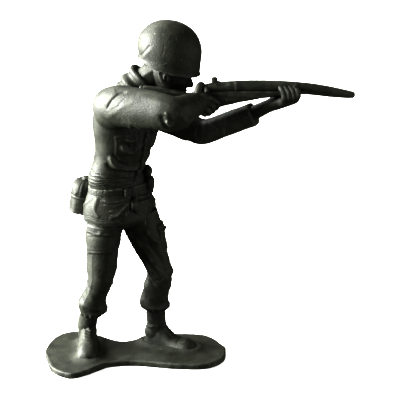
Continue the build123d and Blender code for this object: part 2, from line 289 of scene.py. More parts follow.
def limb(stations, facing, blunt=(0, 0), square=2.0, step=STEP, datum=(0, 0, 0)):
    """A tube through stations of (x, y, z, half width, half depth), counted from the datum. At each
    step along the curve the ring is centre + depth cos(a) u + width sin(a) v, with u pointing to
    'facing' and v across it, and cos and sin raised to 2 / square for a boxier ring. A blunt end
    shrinks over that many millimetres as a quarter circle does. Gives the grid, millimetres
    along it and the angle a."""
    rough = flowing(stations, 200)
    length = np.linalg.norm(np.diff(rough[:, :3], axis=0), axis=1).sum()
    path = flowing(stations, max(int(length / step), 12))
    centre, width, depth = path[:, :3] + datum, path[:, 3], path[:, 4]
    ahead = np.gradient(centre, axis=0)
    ahead /= np.linalg.norm(ahead, axis=1)[:, None]
    u = np.array(facing, float) - ahead * (ahead @ np.array(facing, float))[:, None]
    u /= np.linalg.norm(u, axis=1)[:, None]
    v = np.cross(ahead, u)
    along = np.linspace(0, length, len(path))
    for end, reach in zip((along, length - along), blunt):
        if reach:
            shrink = np.sqrt(np.clip(1 - (1 - np.minimum(end / reach, 1)) ** 2, 0, 1))
            width, depth = width * shrink, depth * shrink
    columns = int(2 * np.pi * max(path[:, 3].max(), path[:, 4].max()) / step)
    angle = np.linspace(0, 2 * np.pi, columns, endpoint=False)
    c, s = np.cos(angle), np.sin(angle)
    c, s = np.sign(c) * np.abs(c) ** (2 / square), np.sign(s) * np.abs(s) ** (2 / square)
    ring = (depth[:, None] * c)[..., None] * u[:, None] + (width[:, None] * s)[..., None] * v[:, None]
    return centre[:, None] + ring, along[:, None], (angle[None] + np.pi) % (2 * np.pi) - np.pi


def raised(points, height):
    """The grid moved along its own outward normals, worked out from its neighbours' differences."""
    down = np.gradient(points, axis=0)
    across = np.roll(points, -1, 1) - np.roll(points, 1, 1)
    normal = np.cross(down, across)
    normal /= np.maximum(np.linalg.norm(normal, axis=2), 1e-9)[..., None]
    outside = (normal * (points - points.mean(1, keepdims=True))).sum(2).mean()
    return points + normal * (np.sign(outside) * height)[..., None]


def pleats(along, angle, folds):
    """Heights of soft folds over a limb. A fold is (millimetres along, degrees round, half its run in
    degrees, slant in millimetres per radian, half width, height): a bell curve across a slanted
    line, which dies out along the line as a second bell curve."""
    height = 0
    for place, round_at, run, slant, width, tall in folds:
        turned = (angle - np.radians(round_at) + np.pi) % (2 * np.pi) - np.pi
        across = (along - place - slant * turned) / width
        height = height + tall * bell(across) * bell(turned / np.radians(run))
    return height


# for each side: the axis that points out of it, its sign, and the two axes across it
AXES = {"-Y": (1, -1, (0, 2)), "+Z": (2, 1, (0, 1))}


def drawn(points, facing, lines, datum):
    """Heights of seams and creases drawn on the side of a grid that faces one way. A line is
    (height, half width, [(across, up), ...]), in millimetres from the datum. Its height is a bell
    curve of the distance from it, fades at both tips, and is nothing where the grid turns away."""
    axis, sign, plane = AXES[facing]
    down = np.gradient(points, axis=0)
    normal = np.cross(down, np.roll(points, -1, 1) - np.roll(points, 1, 1))
    normal /= np.maximum(np.linalg.norm(normal, axis=2), 1e-9)[..., None]
    normal *= np.sign((normal * (points - points.mean(1, keepdims=True))).sum(2).mean())
    seen = np.clip(normal[..., axis] * sign * 4, 0, 1)
    flat = points[..., plane] - np.asarray(datum)[list(plane)]
    height = np.zeros(points.shape[:2])
    for tall, width, corners in lines:
        path = flowing(np.array([(a, b, 0.0) for a, b in corners]), 5 * len(corners))[:, :2]
        near = (flat > path.min(0) - 3 * width).all(-1) & (flat < path.max(0) + 3 * width).all(-1)
        near &= seen > 0
        if not near.any():
            continue
        best, tip = np.full(near.sum(), 1e9), np.zeros(near.sum())
        for k in range(len(path) - 1):
            gap, along = from_line(flat[near], path[k], path[k + 1])
            closer = gap < best
            best[closer] = gap[closer]
            tip[closer] = (k + along[closer]) / (len(path) - 1)
        fade = np.clip(np.minimum(tip, 1 - tip) / 0.16, 0, 1)
        height[near] += tall * bell(best / width) * fade * (2 - fade) * seen[near]
    return height


def fused(shells, grain, rounds):
    """One skin round closed shells that overlap: their union on a grid of cubes 'grain' wide, then
    relaxed by moving each point half way to its neighbours' middle, that many times."""
    verts, faces, count = [], [], 0
    for shell in shells:
        verts.append(shell.reshape(-1, 3))
        faces.append(wall(shell) + count)
        count += len(verts[-1])
    mesh = clean_mesh("shells", np.vstack(verts), np.vstack(faces), 1.0, fill_holes=True)
    holder = bpy.data.objects.new("shells", mesh)
    bpy.context.scene.collection.objects.link(holder)
    remesh = holder.modifiers.new("union", "REMESH")
    remesh.mode = "VOXEL"
    remesh.voxel_size = grain
    skin = bpy.data.meshes.new_from_object(holder.evaluated_get(bpy.context.evaluated_depsgraph_get()))
    bpy.data.objects.remove(holder)
    bpy.data.meshes.remove(mesh)
    place = read(skin.vertices, "co", 3)
    edges = read(skin.edges, "vertices", 2, int)
    corners = read(skin.loops, "vertex_index", 1, int)
    bpy.data.meshes.remove(skin)
    for _ in range(rounds):
        place = place + 0.5 * (ring_mean(place, edges) - place)
    return place, corners.reshape(-1, 4)


def cast_fused(name, shells, grain, rounds, *nodes):
    """A finished piece from closed shells that overlap."""
    cast(name, *fused(shells, grain, rounds), *nodes)


def boot(name, node, heel, toe, ankle, top, sink=0.0):
    """A boot from its heel and toe on the plate, its ankle and the top of its shaft. Rings across the
    foot are (share of its length, half width, height), round above and flat below. The toe end is
    lower by the share 'sink', where the foot has run into the plate in the mould."""
    forward = (toe - heel) / np.linalg.norm(toe - heel)
    side = np.cross(forward, (0, 0, 1))
    length = np.linalg.norm(toe - heel)

    def last(stations, floor):
        """Rings of the foot, from a flat bottom at 'floor' up to each station's height."""
        rows = flowing(np.array([(share * length, width, tall) for share, width, tall in stations]), 90)
        angle = np.linspace(0, 2 * np.pi, 110, endpoint=False)
        wide = np.sign(np.cos(angle)) * np.abs(np.cos(angle)) ** 0.9
        tall = np.where(np.sin(angle) > 0, np.abs(np.sin(angle)), 0)
        ring = rows[:, 1, None, None] * wide[None, :, None] * side
        ring = ring + (floor + (rows[:, 2, None, None] - floor) * tall[None, :, None]) * np.array([0, 0, 1])
        sunk = np.where(np.sin(angle) < 0, np.sin(angle), 0) * 0.8
        return heel + rows[:, 0, None, None] * forward + ring + sunk[None, :, None] * np.array([0, 0, 1])

    upper = last([
        (0.01, 0.3, 2.6), (0.03, 3.0, 4.8), (0.12, 4.0, 7.4), (0.28, 4.3, 9.8), (0.42, 4.3, 9.0 - 3 * sink),
        (0.56, 4.5, 7.5 - 6 * sink), (0.70, 4.8, 6.2 - 5 * sink), (0.84, 4.7, 5.0 - 3 * sink),
        (0.94, 3.8, 3.7 - 2 * sink), (0.99, 1.8, 2.4 - sink), (1.0, 0.2, 1.6 - sink),
    ], 0.2)
    upper = raised(upper, drawn(upper, "+Z", [
        (-0.2, 0.35, [tuple((heel + forward * length * 0.70 + side * k)[:2]) for k in (-4, -2, 0, 2, 4)]),
        (0.1, 0.9, [tuple((heel + forward * length * 0.82 + side * k)[:2]) for k in (-3, 0, 3)]),
    ], (0, 0, 0)))
    welt = last([
        (-0.02, 0.4, 1.0), (0.02, 3.6, 1.4), (0.14, 4.7, 1.5), (0.34, 4.8, 1.5), (0.56, 5.0, 1.5),
        (0.74, 5.4, 1.5), (0.88, 4.9, 1.5), (0.98, 3.0, 1.3), (1.02, 0.4, 1.0),
    ], 0.1)
    over_heel = heel + forward * length * 0.22 + [0, 0, 1.5]
    low_ankle = (ankle - forward * 0.6) * [1, 1, 0.62]
    shaft, along, angle = limb([
        np.r_[over_heel, 3.8, 4.4], np.r_[low_ankle, 4.1, 4.7], np.r_[ankle, 4.1, 4.3],
        np.r_[ankle * 0.45 + top * 0.55, 4.1, 4.2], np.r_[top, 4.2, 4.2],
    ], forward, blunt=(1.0, 1.0))
    shaft = raised(shaft, pleats(along, angle, [
        (4.5, 100, 60, 1.2, 0.8, 0.25), (6.3, 80, 55, -1.5, 0.7, -0.22), (7.6, -90, 60, 1.5, 0.8, 0.25),
        (5.0, -80, 50, -1.2, 0.7, -0.22), (9.5, 120, 70, 1.0, 0.9, 0.2), (11.5, -110, 60, -1.4, 0.8, 0.22),
        (3.0, 180, 50, 0.0, 0.9, 0.25), (8.5, 30, 40, 2.0, 0.6, -0.2),
    ]))
    laces = []
    instep = [
        heel + forward * length * 0.60 + [0, 0, 6.6 - 5 * sink],
        heel + forward * length * 0.47 + [0, 0, 8.3 - 4 * sink],
        ankle + forward * 4.0, ankle * 0.4 + top * 0.6 + forward * 4.1,
    ]
    for row in flowing(np.array(instep), 9):
        for lean in (-0.5, 0.5):
            ends = [row - side * 1.5 + [0, 0, lean], row + forward * 0.25, row + side * 1.5 - [0, 0, lean]]
            laces.append(limb([np.r_[p, 0.2, 0.22] for p in ends], forward, blunt=(0.3, 0.3), step=0.16)[0])
    tongue = limb([np.r_[p, 1.7, 0.2] for p in instep], forward, blunt=(0.8, 0.8))[0]
    cast_fused(name, [upper, welt, shaft, tongue] + laces, 0.24, 2, node)


RIGHT_HEEL, RIGHT_TOE = spot("right_boot", 0.42, 1.0, 0), spot("right_boot", 0.52, 0.0, 0)
LEFT_HEEL, LEFT_TOE = spot("left_boot", 0.03, 0.85, 0), spot("left_boot", 0.97, 0.17, 0)
boot("right_boot_sculpt", "right_boot", RIGHT_HEEL, RIGHT_TOE,
     spot("right_boot", 0.42, 0.76, 0.44), spot("right_boot", 0.66, 0.60, 0.96))
boot("left_boot_sculpt", "left_boot", LEFT_HEEL, LEFT_TOE,
     spot("left_boot", 0.23, 0.70, 0.46), spot("left_boot", 0.21, 0.63, 0.98), sink=0.5)

# ---- Trousers ----------------------------------------------------------------------------
# Baggy field trousers in one cloth: a seat and two legs bloused over the boot tops, with a cargo
# pocket on each thigh. Long soft folds run the way that the cloth is pulled at hip and knee.

BELT = spot("belt")


def stacked(stations, step=STEP):
    """A tube of level rings through stations of (z, x, y, half width, half depth, yaw in degrees),
    counted from the middle of the belt. A ring is centre + depth cos(a) front + width sin(a)
    right, where front is level and turned by the yaw from +X towards -Y. Gives the grid, the
    height z of each row over the belt and the angle a."""
    rows = np.asarray(stations, float)[:, [1, 2, 0, 3, 4, 5]]
    length = np.linalg.norm(np.diff(rows[:, :3], axis=0), axis=1).sum()
    path = flowing(rows, int(length / step))
    yaw = np.radians(path[:, 5])
    columns = int(2 * np.pi * path[:, 3:5].max() / step)
    angle = np.linspace(0, 2 * np.pi, columns, endpoint=False)
    front = np.stack([np.cos(yaw), -np.sin(yaw), 0 * yaw], 1)[:, None]
    right = np.stack([-np.sin(yaw), -np.cos(yaw), 0 * yaw], 1)[:, None]
    deep = (path[:, 4, None] * np.cos(angle))[..., None] * front
    wide = (path[:, 3, None] * np.sin(angle))[..., None] * right
    grid = BELT + path[:, None, :3] + deep + wide
    return grid, path[:, 2, None], (angle[None] + np.pi) % (2 * np.pi) - np.pi


def sewn_on(across, up, width, height, lift, edge=0.7):
    """Heights of a patch sewn on: 'lift' inside the box and nothing outside it, with an S-shaped
    step in between, and lines of stitching as a shallow groove just inside the edge."""
    inside = np.minimum(width / 2 - np.abs(across), height / 2 - np.abs(up))
    share = np.clip(inside / edge + 0.5, 0, 1)
    stitches = bell((inside - 1.1) / 0.3) * 0.16
    return lift * share * share * (3 - 2 * share) - stitches


seat = stacked([
    (-19.6, 2.4, 0.8, 1.0, 1.0, 58), (-18.0, 2.0, 0.8, 4.6, 3.6, 58), (-15.8, 1.2, 0.6, 11.8, 8.0, 58),
    (-13.0, 0.8, 0.4, 14.8, 10.6, 58), (-8.0, 0.4, 0.2, 14.0, 10.0, 58),
])[0]
# both legs with half widths and half depths as seen from the right-hand side, so with a yaw of 90
right_leg, z, a = stacked([(*row, 90) for row in [
    (-10.4, -4.4, -3.0, 8.4, 8.0), (-15.2, -5.2, -3.3, 8.4, 7.9), (-20.4, -6.4, -3.6, 7.5, 7.6),
    (-25.4, -6.8, -3.9, 7.0, 7.2), (-29.0, -7.0, -4.1, 6.8, 6.9), (-34.4, -7.4, -4.3, 6.4, 6.5),
    (-39.4, -7.9, -4.4, 5.7, 6.2), (-44.4, -9.2, -3.8, 5.5, 6.0), (-47.4, -10.6, -3.1, 5.6, 6.0),
    (-50.8, -11.9, -2.4, 5.9, 6.1), (-53.8, -12.1, -1.4, 6.1, 6.3), (-56.2, -11.8, -0.8, 6.1, 6.3),
    (-57.8, -12.2, -0.3, 5.2, 5.6), (-58.8, -12.6, 0.0, 4.2, 4.6),
]])
folds = pleats(z, a, [
    (-38.4, 62, 26, 9.0, 1.3, 0.25), (-43.4, 60, 34, 5.0, 1.5, 0.3), (-46.0, 55, 30, 4.0, 1.4, -0.2),
    (-40.6, -60, 45, 3.0, 1.3, 0.35), (-47.2, 15, 36, 4.5, 1.4, 0.3), (-49.8, 40, 40, 3.0, 1.4, -0.3),
    (-51.8, 70, 60, 1.2, 1.7, 0.3), (-53.6, -45, 70, 1.4, 1.3, 0.5), (-55.5, -40, 55, -1.2, 0.9, 0.3),
    (-18.4, 150, 70, 4.0, 1.3, 0.5), (-27.4, 175, 60, -5.0, 1.2, 0.5), (-39.9, 180, 80, 1.0, 1.2, 0.8),
    (-42.4, 175, 70, -1.0, 0.9, -0.7), (-44.6, -170, 70, 1.5, 1.1, 0.7), (-49.9, -160, 60, 3.0, 1.2, 0.5),
    (-32.9, 110, 45, 7.0, 1.1, 0.4), (-22.4, -85, 26, 12.0, 1.2, 0.5), (-35.9, -95, 30, 9.0, 1.0, 0.45),
    (-51.9, 160, 60, -2.0, 0.8, -0.5),
])
arc = a * 7.3
# the thigh pocket, its flap and the button on the flap
folds = folds + sewn_on(arc - 1.4, z + 21.8 + 0.02 * arc**2, 13.4, 8.6, 0.35)
folds = folds + sewn_on(arc - 1.4, z + 16.2, 13.8, 3.2, 0.5)
folds = folds + 0.45 * bell((arc - 1.4) / 0.8) * bell((z + 17.0) / 0.7)
# the rib of a side seam down the outside, and the drawn-in hem over the boot top
folds = folds + 0.14 * bell((a - np.radians(38)) / 0.09) * (z < -27.4)
folds = folds + 0.32 * np.sin(a * 13 + 1.2 * np.sin(a * 3)) * bell((z + 57.8) / 1.5)
right_leg = raised(right_leg, folds)
left_leg, z, a = stacked([(*row, 90) for row in [
    (-11.4, 8.2, 4.6, 8.0, 7.8), (-16.4, 9.4, 4.4, 8.2, 7.8), (-21.4, 10.6, 3.9, 8.2, 7.6),
    (-25.7, 12.3, 3.5, 7.1, 7.2), (-29.7, 14.0, 3.1, 6.4, 6.8), (-34.4, 15.5, 2.6, 6.1, 6.5),
    (-38.8, 17.0, 2.2, 5.6, 6.2), (-42.4, 17.0, 2.2, 5.7, 6.1), (-45.4, 16.2, 2.4, 5.9, 6.1),
    (-49.4, 15.3, 2.8, 5.9, 6.1), (-53.2, 14.6, 3.2, 6.2, 6.3), (-55.5, 14.9, 3.5, 6.6, 6.4),
    (-57.0, 15.3, 3.8, 5.4, 5.6), (-57.9, 15.6, 4.0, 4.3, 4.5),
]])
folds = drawn(left_leg, "-Y", [
    (1.5, 1.3, [(3.4, -17.6), (7.0, -26.6), (11.4, -33.2), (17.4, -41.0)]),
    (-0.9, 1.0, [(4.6, -20.6), (9.2, -28.4), (14.4, -35.2), (18.6, -41.0)]),
    (0.7, 1.1, [(6.0, -21.6), (11.5, -29.0), (17.0, -36.0), (21.0, -42.6)]),
    (-0.5, 0.9, [(11.8, -23.6), (16.8, -30.6), (20.4, -37.6)]),
    (0.4, 1.0, [(13.2, -20.4), (17.8, -27.0), (20.6, -33.0)]),
    (0.6, 0.8, [(11.1, -18.4), (13.4, -21.6), (17.6, -25.2)]),
], BELT)
folds = folds + pleats(z, a, [
    (-41.0, 35, 40, 5.5, 1.1, 0.55), (-43.1, 30, 36, 5.0, 0.8, -0.5), (-45.4, 70, 50, 2.0, 1.4, 0.4),
    (-46.8, -60, 50, -2.0, 1.2, 0.35), (-50.6, -30, 50, 2.4, 1.3, 0.25), (-52.4, 45, 50, 1.0, 1.4, 0.35),
    (-54.8, 0, 70, 0.8, 1.0, 0.5), (-39.4, -95, 50, 2.0, 1.3, 0.6), (-41.8, -90, 45, -1.5, 1.0, -0.5),
    (-18.4, 60, 40, 8.0, 1.2, 0.6), (-40.4, 170, 70, 1.5, 1.2, 0.8), (-42.8, 175, 70, -1.0, 0.9, -0.7),
    (-48.4, 165, 60, 2.5, 1.3, 0.6), (-28.4, 150, 50, 6.0, 1.2, 0.5), (-21.4, 175, 60, -4.0, 1.3, 0.5),
    (-35.4, 120, 40, -6.0, 1.0, 0.4),
])
arc = (a + np.radians(98)) * 7.4
folds = folds + sewn_on(arc, z + 24.6, 11.6, 9.0, 0.7) + sewn_on(arc, z + 19.2, 12.0, 3.2, 0.95)
folds = folds + 0.3 * bell(arc / 0.8) * bell((z + 20.2) / 0.7)
folds = folds + 0.22 * bell((a + np.radians(150)) / 0.06) * (z < -30.4)
folds = folds + 0.32 * np.sin(a * 13 + 1.1 * np.sin(a * 4)) * bell((z + 57.0) / 1.4)
left_leg = raised(left_leg, folds)
cast_fused("trousers", [seat, right_leg, left_leg], 0.27, 3, "trouser_seat", "right_trouser_leg",
           "left_trouser_leg", "right_thigh_pocket", "left_thigh_pocket")

# ---- Jacket skirt ------------------------------------------------------------------------
# The part of the field jacket below the belt: flared, open at the fly in front, and hemmed with
# two rows of stitching. Its hem rides up over the forward thigh. Underneath it is hollowed a little.

hem = spot("jacket_skirt", z=0)[2] - BELT[2]
skirt, z, a = stacked([
    (1.2, 0.0, 0.0, 12.9, 8.9, 56), (-1.8, 0.0, 0.0, 14.0, 9.8, 56), (-5.4, 0.2, 0.1, 15.3, 10.8, 57),
    (-8.4, 0.4, 0.2, 16.0, 11.6, 58), (-11.0, 0.6, 0.3, 16.4, 12.0, 58),
    (-13.0, 0.6, 0.3, 16.2, 11.9, 58),
], step=0.27)
skirt_lines = drawn(skirt, "-Y", [
    (0.35, 1.0, [(-7.8, -1.0), (-9.0, -4.2), (-9.4, -6.4), (-8.6, -8.2), (-7.2, -9.4)]),
    (0.3, 0.8, [(4.8, -5.5), (2.4, -7.6), (-0.6, -9.2), (-3.4, -9.9)]),
    (0.25, 0.5, [(-6.0, -2.2), (-1.5, -3.4), (3.6, -2.6)]),
    (0.2, 0.45, [(-5.6, -4.0), (-1.0, -5.0), (3.4, -4.2)]),
    (-1.0, 0.55, [(6.1, -0.5), (5.9, -5.0), (5.7, -9.6), (5.6, -13.0)]),
    (0.45, 0.6, [(7.6, -1.0), (7.7, -5.0), (7.9, -9.0)]),
    (0.5, 0.7, [(8.2, -2.4), (10.6, -3.6), (13.2, -4.2)]),
    (-0.4, 0.6, [(8.4, -4.0), (10.6, -5.2), (13.2, -5.6)]),
    (0.5, 0.7, [(8.4, -5.6), (11.0, -6.4), (13.8, -6.6)]),
], BELT)
behind = pleats(z, a, [
    (-7.4, 130, 20, 9.0, 1.0, 0.5), (-6.4, 165, 16, -12.0, 1.0, 0.5), (-7.4, -160, 18, 10.0, 1.1, 0.55),
    (-7.9, -125, 18, -9.0, 1.0, 0.5), (-5.4, -90, 20, 8.0, 0.9, 0.45), (-8.9, -60, 20, -6.0, 1.0, 0.4),
    (-5.9, 105, 20, -8.0, 0.9, 0.4),
])
stitching = sum(-0.16 * bell((z - hem - row) / 0.25) for row in (2.3, 1.5))
vent = -0.5 * bell((np.abs(a) - np.pi) / 0.03) * (z < -4.4)
skirt = raised(skirt, skirt_lines + behind + stitching + vent)
# the hem rides up by 4.4 mm in front of the forward thigh, and waves a little all the way round
low = np.clip((BELT[2] - 2.4 - skirt[..., 2]) / 10.0, 0, 1)
forward = bell((a + np.radians(36)) / 0.62)
open_fly = np.exp(-(np.abs((a - 0.02) / 0.2) ** 1.5))
waves = 0.35 * np.sin(5 * a + 0.7) + 0.2 * np.sin(11 * a)
skirt[..., 2] += low * (4.4 * forward + 4.6 * open_fly + waves)
edge_ring = skirt[-1]
centre = edge_ring.mean(0)
inset = [(1.0, -0.25), (0.985, -0.45), (0.965, -0.5), (0.95, -0.3), (0.94, 0.4), (0.93, 2.0), (0.9, 3.0)]
inset += [(share, 3.2) for share in np.linspace(0.86, 0.0, 40)]
turned_in = [centre + (edge_ring - centre) * [share, share, 1] + [0, 0, rise] for share, rise in inset]
top_ring = skirt[0]
lid = [top_ring.mean(0) + (top_ring - top_ring.mean(0)) * share for share in np.linspace(0.0, 0.97, 36)]
skirt = np.concatenate([np.array(lid), skirt, np.array(turned_in)])
cast_grid("skirt", skirt, "jacket_skirt")

# ---- Jacket ------------------------------------------------------------------------------
# The field jacket above the belt, with both sleeves, a stand of two thick collar rolls, a fly with
# buttons and two flapped breast pockets. It blouses over the belt in stacked wrinkles.

torso, z, a = stacked([
    (-2.2, 0.1, 0.0, 13.2, 9.2, 56), (0.6, -0.1, 0.0, 12.8, 9.0, 55), (5.6, -0.6, 0.0, 13.1, 9.1, 50),
    (9.6, 0.4, 0.0, 12.8, 9.2, 47), (12.1, 1.4, 0.0, 12.9, 9.5, 45), (16.6, 2.6, -0.1, 13.5, 10.0, 43),
    (21.6, 3.4, -0.3, 14.6, 10.5, 42), (28.6, 3.5, -0.7, 15.7, 10.6, 42),
    (35.6, 4.0, -0.9, 15.6, 9.6, 42), (40.6, 5.6, -1.0, 12.2, 7.6, 42), (43.6, 6.8, -1.0, 9.0, 6.4, 42),
    (45.2, 7.2, -1.0, 6.0, 4.6, 42),
], step=0.27)
near_lines = drawn(torso, "-Y", [
    (1.0, 1.0, [(-2.4, 17.4), (-1.1, 13.9), (0.8, 12.0), (4.4, 10.4), (8.4, 9.8), (11.2, 12.6)]),
    (-0.8, 0.8, [(-4.2, 14.1), (-1.6, 10.9), (3.2, 9.1), (7.5, 8.2), (10.0, 8.8)]),
    (-0.4, 0.9, [(-1.0, 18.2), (0.4, 15.0), (2.4, 13.2), (5.0, 12.4)]),
    (0.75, 0.75, [(2.6, 22.4), (3.4, 19.8), (5.6, 18.3), (8.4, 18.9), (11.1, 20.6)]),
    (-0.7, 0.7, [(4.6, 22.6), (5.2, 20.9), (6.6, 20.2), (8.4, 21.0)]),
    (0.7, 0.7, [(4.1, 24.6), (6.5, 23.4), (8.9, 24.4), (10.4, 27.4)]),
    (-0.5, 0.6, [(5.0, 26.6), (6.6, 25.6), (8.2, 26.8)]),
    (-0.75, 0.42, [(12.6, 28.6), (11.4, 22.7), (10.6, 17.2), (9.4, 11.9), (7.2, 6.0), (6.4, 2.4)]),
    (-0.55, 0.38, [(14.6, 27.6), (13.0, 21.2), (11.9, 15.0), (10.3, 10.0), (8.6, 5.0), (7.9, 2.4)]),
    (0.5, 0.8, [(13.7, 28.0), (12.2, 22.0), (11.3, 16.0), (9.9, 11.0), (7.9, 5.4), (7.1, 2.4)]),
    (0.5, 0.8, [(8.0, 6.0), (10.2, 8.4), (12.4, 9.4)]),
    (-0.4, 0.6, [(8.6, 4.0), (11.0, 6.4), (13.2, 7.0)]),
], BELT)
# wavy rows 1.45 mm apart and finer ones 0.85 mm apart, their phase counted from the floor
up = z + BELT[2]
coarse = np.sin(2 * np.pi * up / 1.45 + 2.2 * np.sin(3 * a + 0.5 * up) + 1.4 * np.sin(7 * a + up))
fine = np.sin(2 * np.pi * up / 0.85 + 2.6 * np.sin(5 * a - 0.6 * up))
over_belt = np.exp(-(((z - 6.0) / 3.4) ** 4)) * (0.75 + 0.25 * np.sin(4 * a + 2))
rows_of_wrinkles = (0.2 * coarse + 0.13 * fine) * over_belt
around_back = pleats(z, a, [
    (11.6, 165, 50, -5.0, 1.4, 0.4), (16.1, -150, 46, 5.0, 1.4, 0.4), (19.6, -175, 40, 7.0, 1.3, 0.35),
    (10.8, -100, 50, 3.0, 1.1, 0.7), (14.6, -80, 40, -6.0, 1.0, 0.55), (26.6, 150, 26, -8.0, 1.3, 0.3),
    (29.6, -140, 30, 8.0, 1.1, 0.5), (11.0, 180, 60, 0.0, 1.3, 0.7), (34.6, -170, 40, -4.0, 1.1, 0.45),
    (22.6, -60, 26, 9.0, 1.0, 0.5),
])
yoke = -0.3 * bell((z - 35.6 - 1.5 * np.cos(a)) / 0.4) * (np.abs(a) > 1.9)
from_spine = np.abs(np.abs(a) - np.pi) * 10
centre_pleat = -0.35 * bell((from_spine - 1.1) / 0.35) * (z > 9.6) * (z < 34.6)
pockets = sewn_on((a - np.radians(34)) * 12.6, z - 21.8, 8.6, 9.0, 0.3)
pockets = pockets + sewn_on((a + np.radians(42)) * 12.6, z - 21.8, 9.6, 9.0, 0.7)
pockets = pockets + sewn_on((a + np.radians(42)) * 12.6, z - 25.8, 10.2, 3.4, 0.5)
torso = raised(torso, near_lines + rows_of_wrinkles + around_back + yoke + centre_pleat + pockets)

right_sleeve, along, a = limb([
    (-4.2, -5.2, 34.0, 6.2, 7.6), (-1.8, -9.2, 36.2, 7.8, 8.8), (1.8, -12.6, 38.2, 8.4, 8.7),
    (6.6, -16.4, 39.0, 8.3, 8.2), (11.8, -19.8, 39.2, 7.8, 7.9), (17.0, -23.0, 39.3, 7.2, 7.6),
    (21.2, -25.4, 39.2, 6.7, 7.2), (24.8, -25.6, 39.1, 6.2, 6.7), (28.2, -21.8, 39.2, 5.7, 6.1),
    (31.0, -17.4, 39.5, 5.0, 5.4), (33.4, -14.0, 39.9, 4.4, 4.7), (34.4, -12.8, 40.1, 4.2, 4.4),
], (0, 0, 1), blunt=(4.5, 0.8), datum=BELT)
sleeve_lines = drawn(right_sleeve, "-Y", [
    (-0.6, 0.28, [(-2.6, 38.8), (-1.6, 40.9), (0.0, 43.3), (2.4, 45.3), (5.5, 46.4)]),
    (0.25, 0.9, [(-3.4, 40.2), (-1.6, 43.4), (1.2, 46.0)]),
    (-0.18, 0.24, [(1.6, 40.4), (3.4, 42.8), (5.2, 44.3)]),
    (0.2, 1.1, [(-2.8, 35.0), (2.0, 39.9), (6.9, 43.2), (11.4, 45.0)]),
    (-0.12, 0.8, [(-0.6, 38.4), (3.4, 41.6), (7.6, 44.4)]),
    (0.25, 1.2, [(9.6, 46.0), (16.8, 45.0), (22.8, 43.6), (28.7, 42.6), (32.4, 44.2)]),
    (1.0, 0.7, [(21.3, 37.7), (22.4, 36.4), (23.7, 35.2)]),
    (-0.5, 0.9, [(19.8, 40.2), (20.0, 37.9), (21.2, 35.6), (23.0, 34.0)]),
    (-0.4, 0.6, [(22.6, 39.2), (23.6, 37.8), (24.8, 36.6)]),
    (0.35, 0.6, [(21.0, 41.0), (22.2, 39.8)]),
    (0.25, 1.3, [(3.0, 34.8), (8.0, 33.8), (15.6, 33.4)]),
    (0.3, 1.0, [(26.0, 41.0), (28.6, 38.0), (29.4, 35.6)]),
    (-0.25, 0.9, [(28.2, 41.4), (30.4, 38.8), (31.2, 36.6)]),
], BELT)
arm_folds = pleats(along, a, [
    (36.0, 160, 40, 2.5, 1.0, 0.6), (39.5, 150, 40, -2.5, 0.9, 0.6), (42.0, 175, 50, 0.0, 0.8, -0.5),
    (26.0, 175, 45, 4.0, 1.2, 0.5), (18.0, 170, 40, -4.0, 1.2, 0.5), (47.0, 60, 60, 1.5, 0.8, 0.3),
])
right_sleeve = raised(right_sleeve, sleeve_lines + arm_folds)

left_sleeve, along, a = limb([
    (8.6, 6.0, 33.6, 6.0, 6.4), (15.2, 6.8, 31.4, 6.8, 7.0), (20.2, 6.0, 29.4, 6.5, 6.5),
    (25.3, 4.9, 27.1, 5.8, 5.9), (30.6, 3.6, 24.7, 5.4, 5.3), (35.4, 2.4, 23.4, 5.2, 5.0),
    (39.2, 1.2, 24.4, 5.0, 4.8), (43.6, -0.2, 26.6, 4.9, 4.7), (49.2, -1.9, 29.2, 4.8, 4.7),
    (54.0, -3.8, 31.6, 4.7, 4.7), (57.2, -4.9, 33.1, 4.7, 4.8),
], (0, 0, 1), blunt=(4.0, 0.9), square=3.4, datum=BELT)
arm_folds = pleats(along, a, [
    (12.0, 90, 60, 3.0, 1.0, 0.35), (16.0, 60, 50, -3.0, 0.9, 0.3), (20.0, 100, 60, 2.0, 1.0, 0.3),
    (25.5, 110, 50, -2.5, 0.9, 0.35), (28.0, 95, 50, 3.5, 0.6, 0.35), (30.6, 85, 50, -2.5, 0.6, -0.3),
    (37.0, 75, 45, 4.0, 0.5, 0.3), (41.0, 105, 50, -3.0, 0.7, 0.25),
    (27.0, -90, 60, 2.5, 0.9, 0.6), (29.5, -100, 60, -2.0, 0.8, -0.5), (31.5, -80, 60, 1.5, 0.8, 0.5),
    (18.0, -90, 60, -3.0, 1.0, 0.5), (22.0, -60, 60, 3.0, 1.0, 0.4), (38.0, -100, 50, 2.5, 0.9, 0.4),
    (46.0, -70, 60, -1.5, 0.8, 0.35), (26.0, 180, 50, 0.0, 1.0, -0.5),
])
cuff = -0.2 * bell((along - along.max() + 4.2) / 0.3)
left_sleeve = raised(left_sleeve, arm_folds + cuff)

collar, along, a = limb([
    (5.8, -0.8, 40.2, 7.8, 7.4), (7.2, -0.7, 42.4, 7.2, 6.9), (8.6, -0.8, 44.5, 6.9, 6.5),
    (10.0, -1.0, 46.3, 6.6, 6.2), (11.4, -1.2, 48.1, 6.3, 5.8), (12.2, -1.3, 49.1, 5.4, 4.8),
], (1, 0, 0), blunt=(0.5, 1.2), datum=BELT)
rolls = 0.7 * np.cos((along - 9.6) / 5.0 * 2 * np.pi) * np.clip((along - 1.6) / 1.5, 0, 1)
collar = raised(collar, rolls + 0.16 * np.sin(3 * a + 0.6 * along))
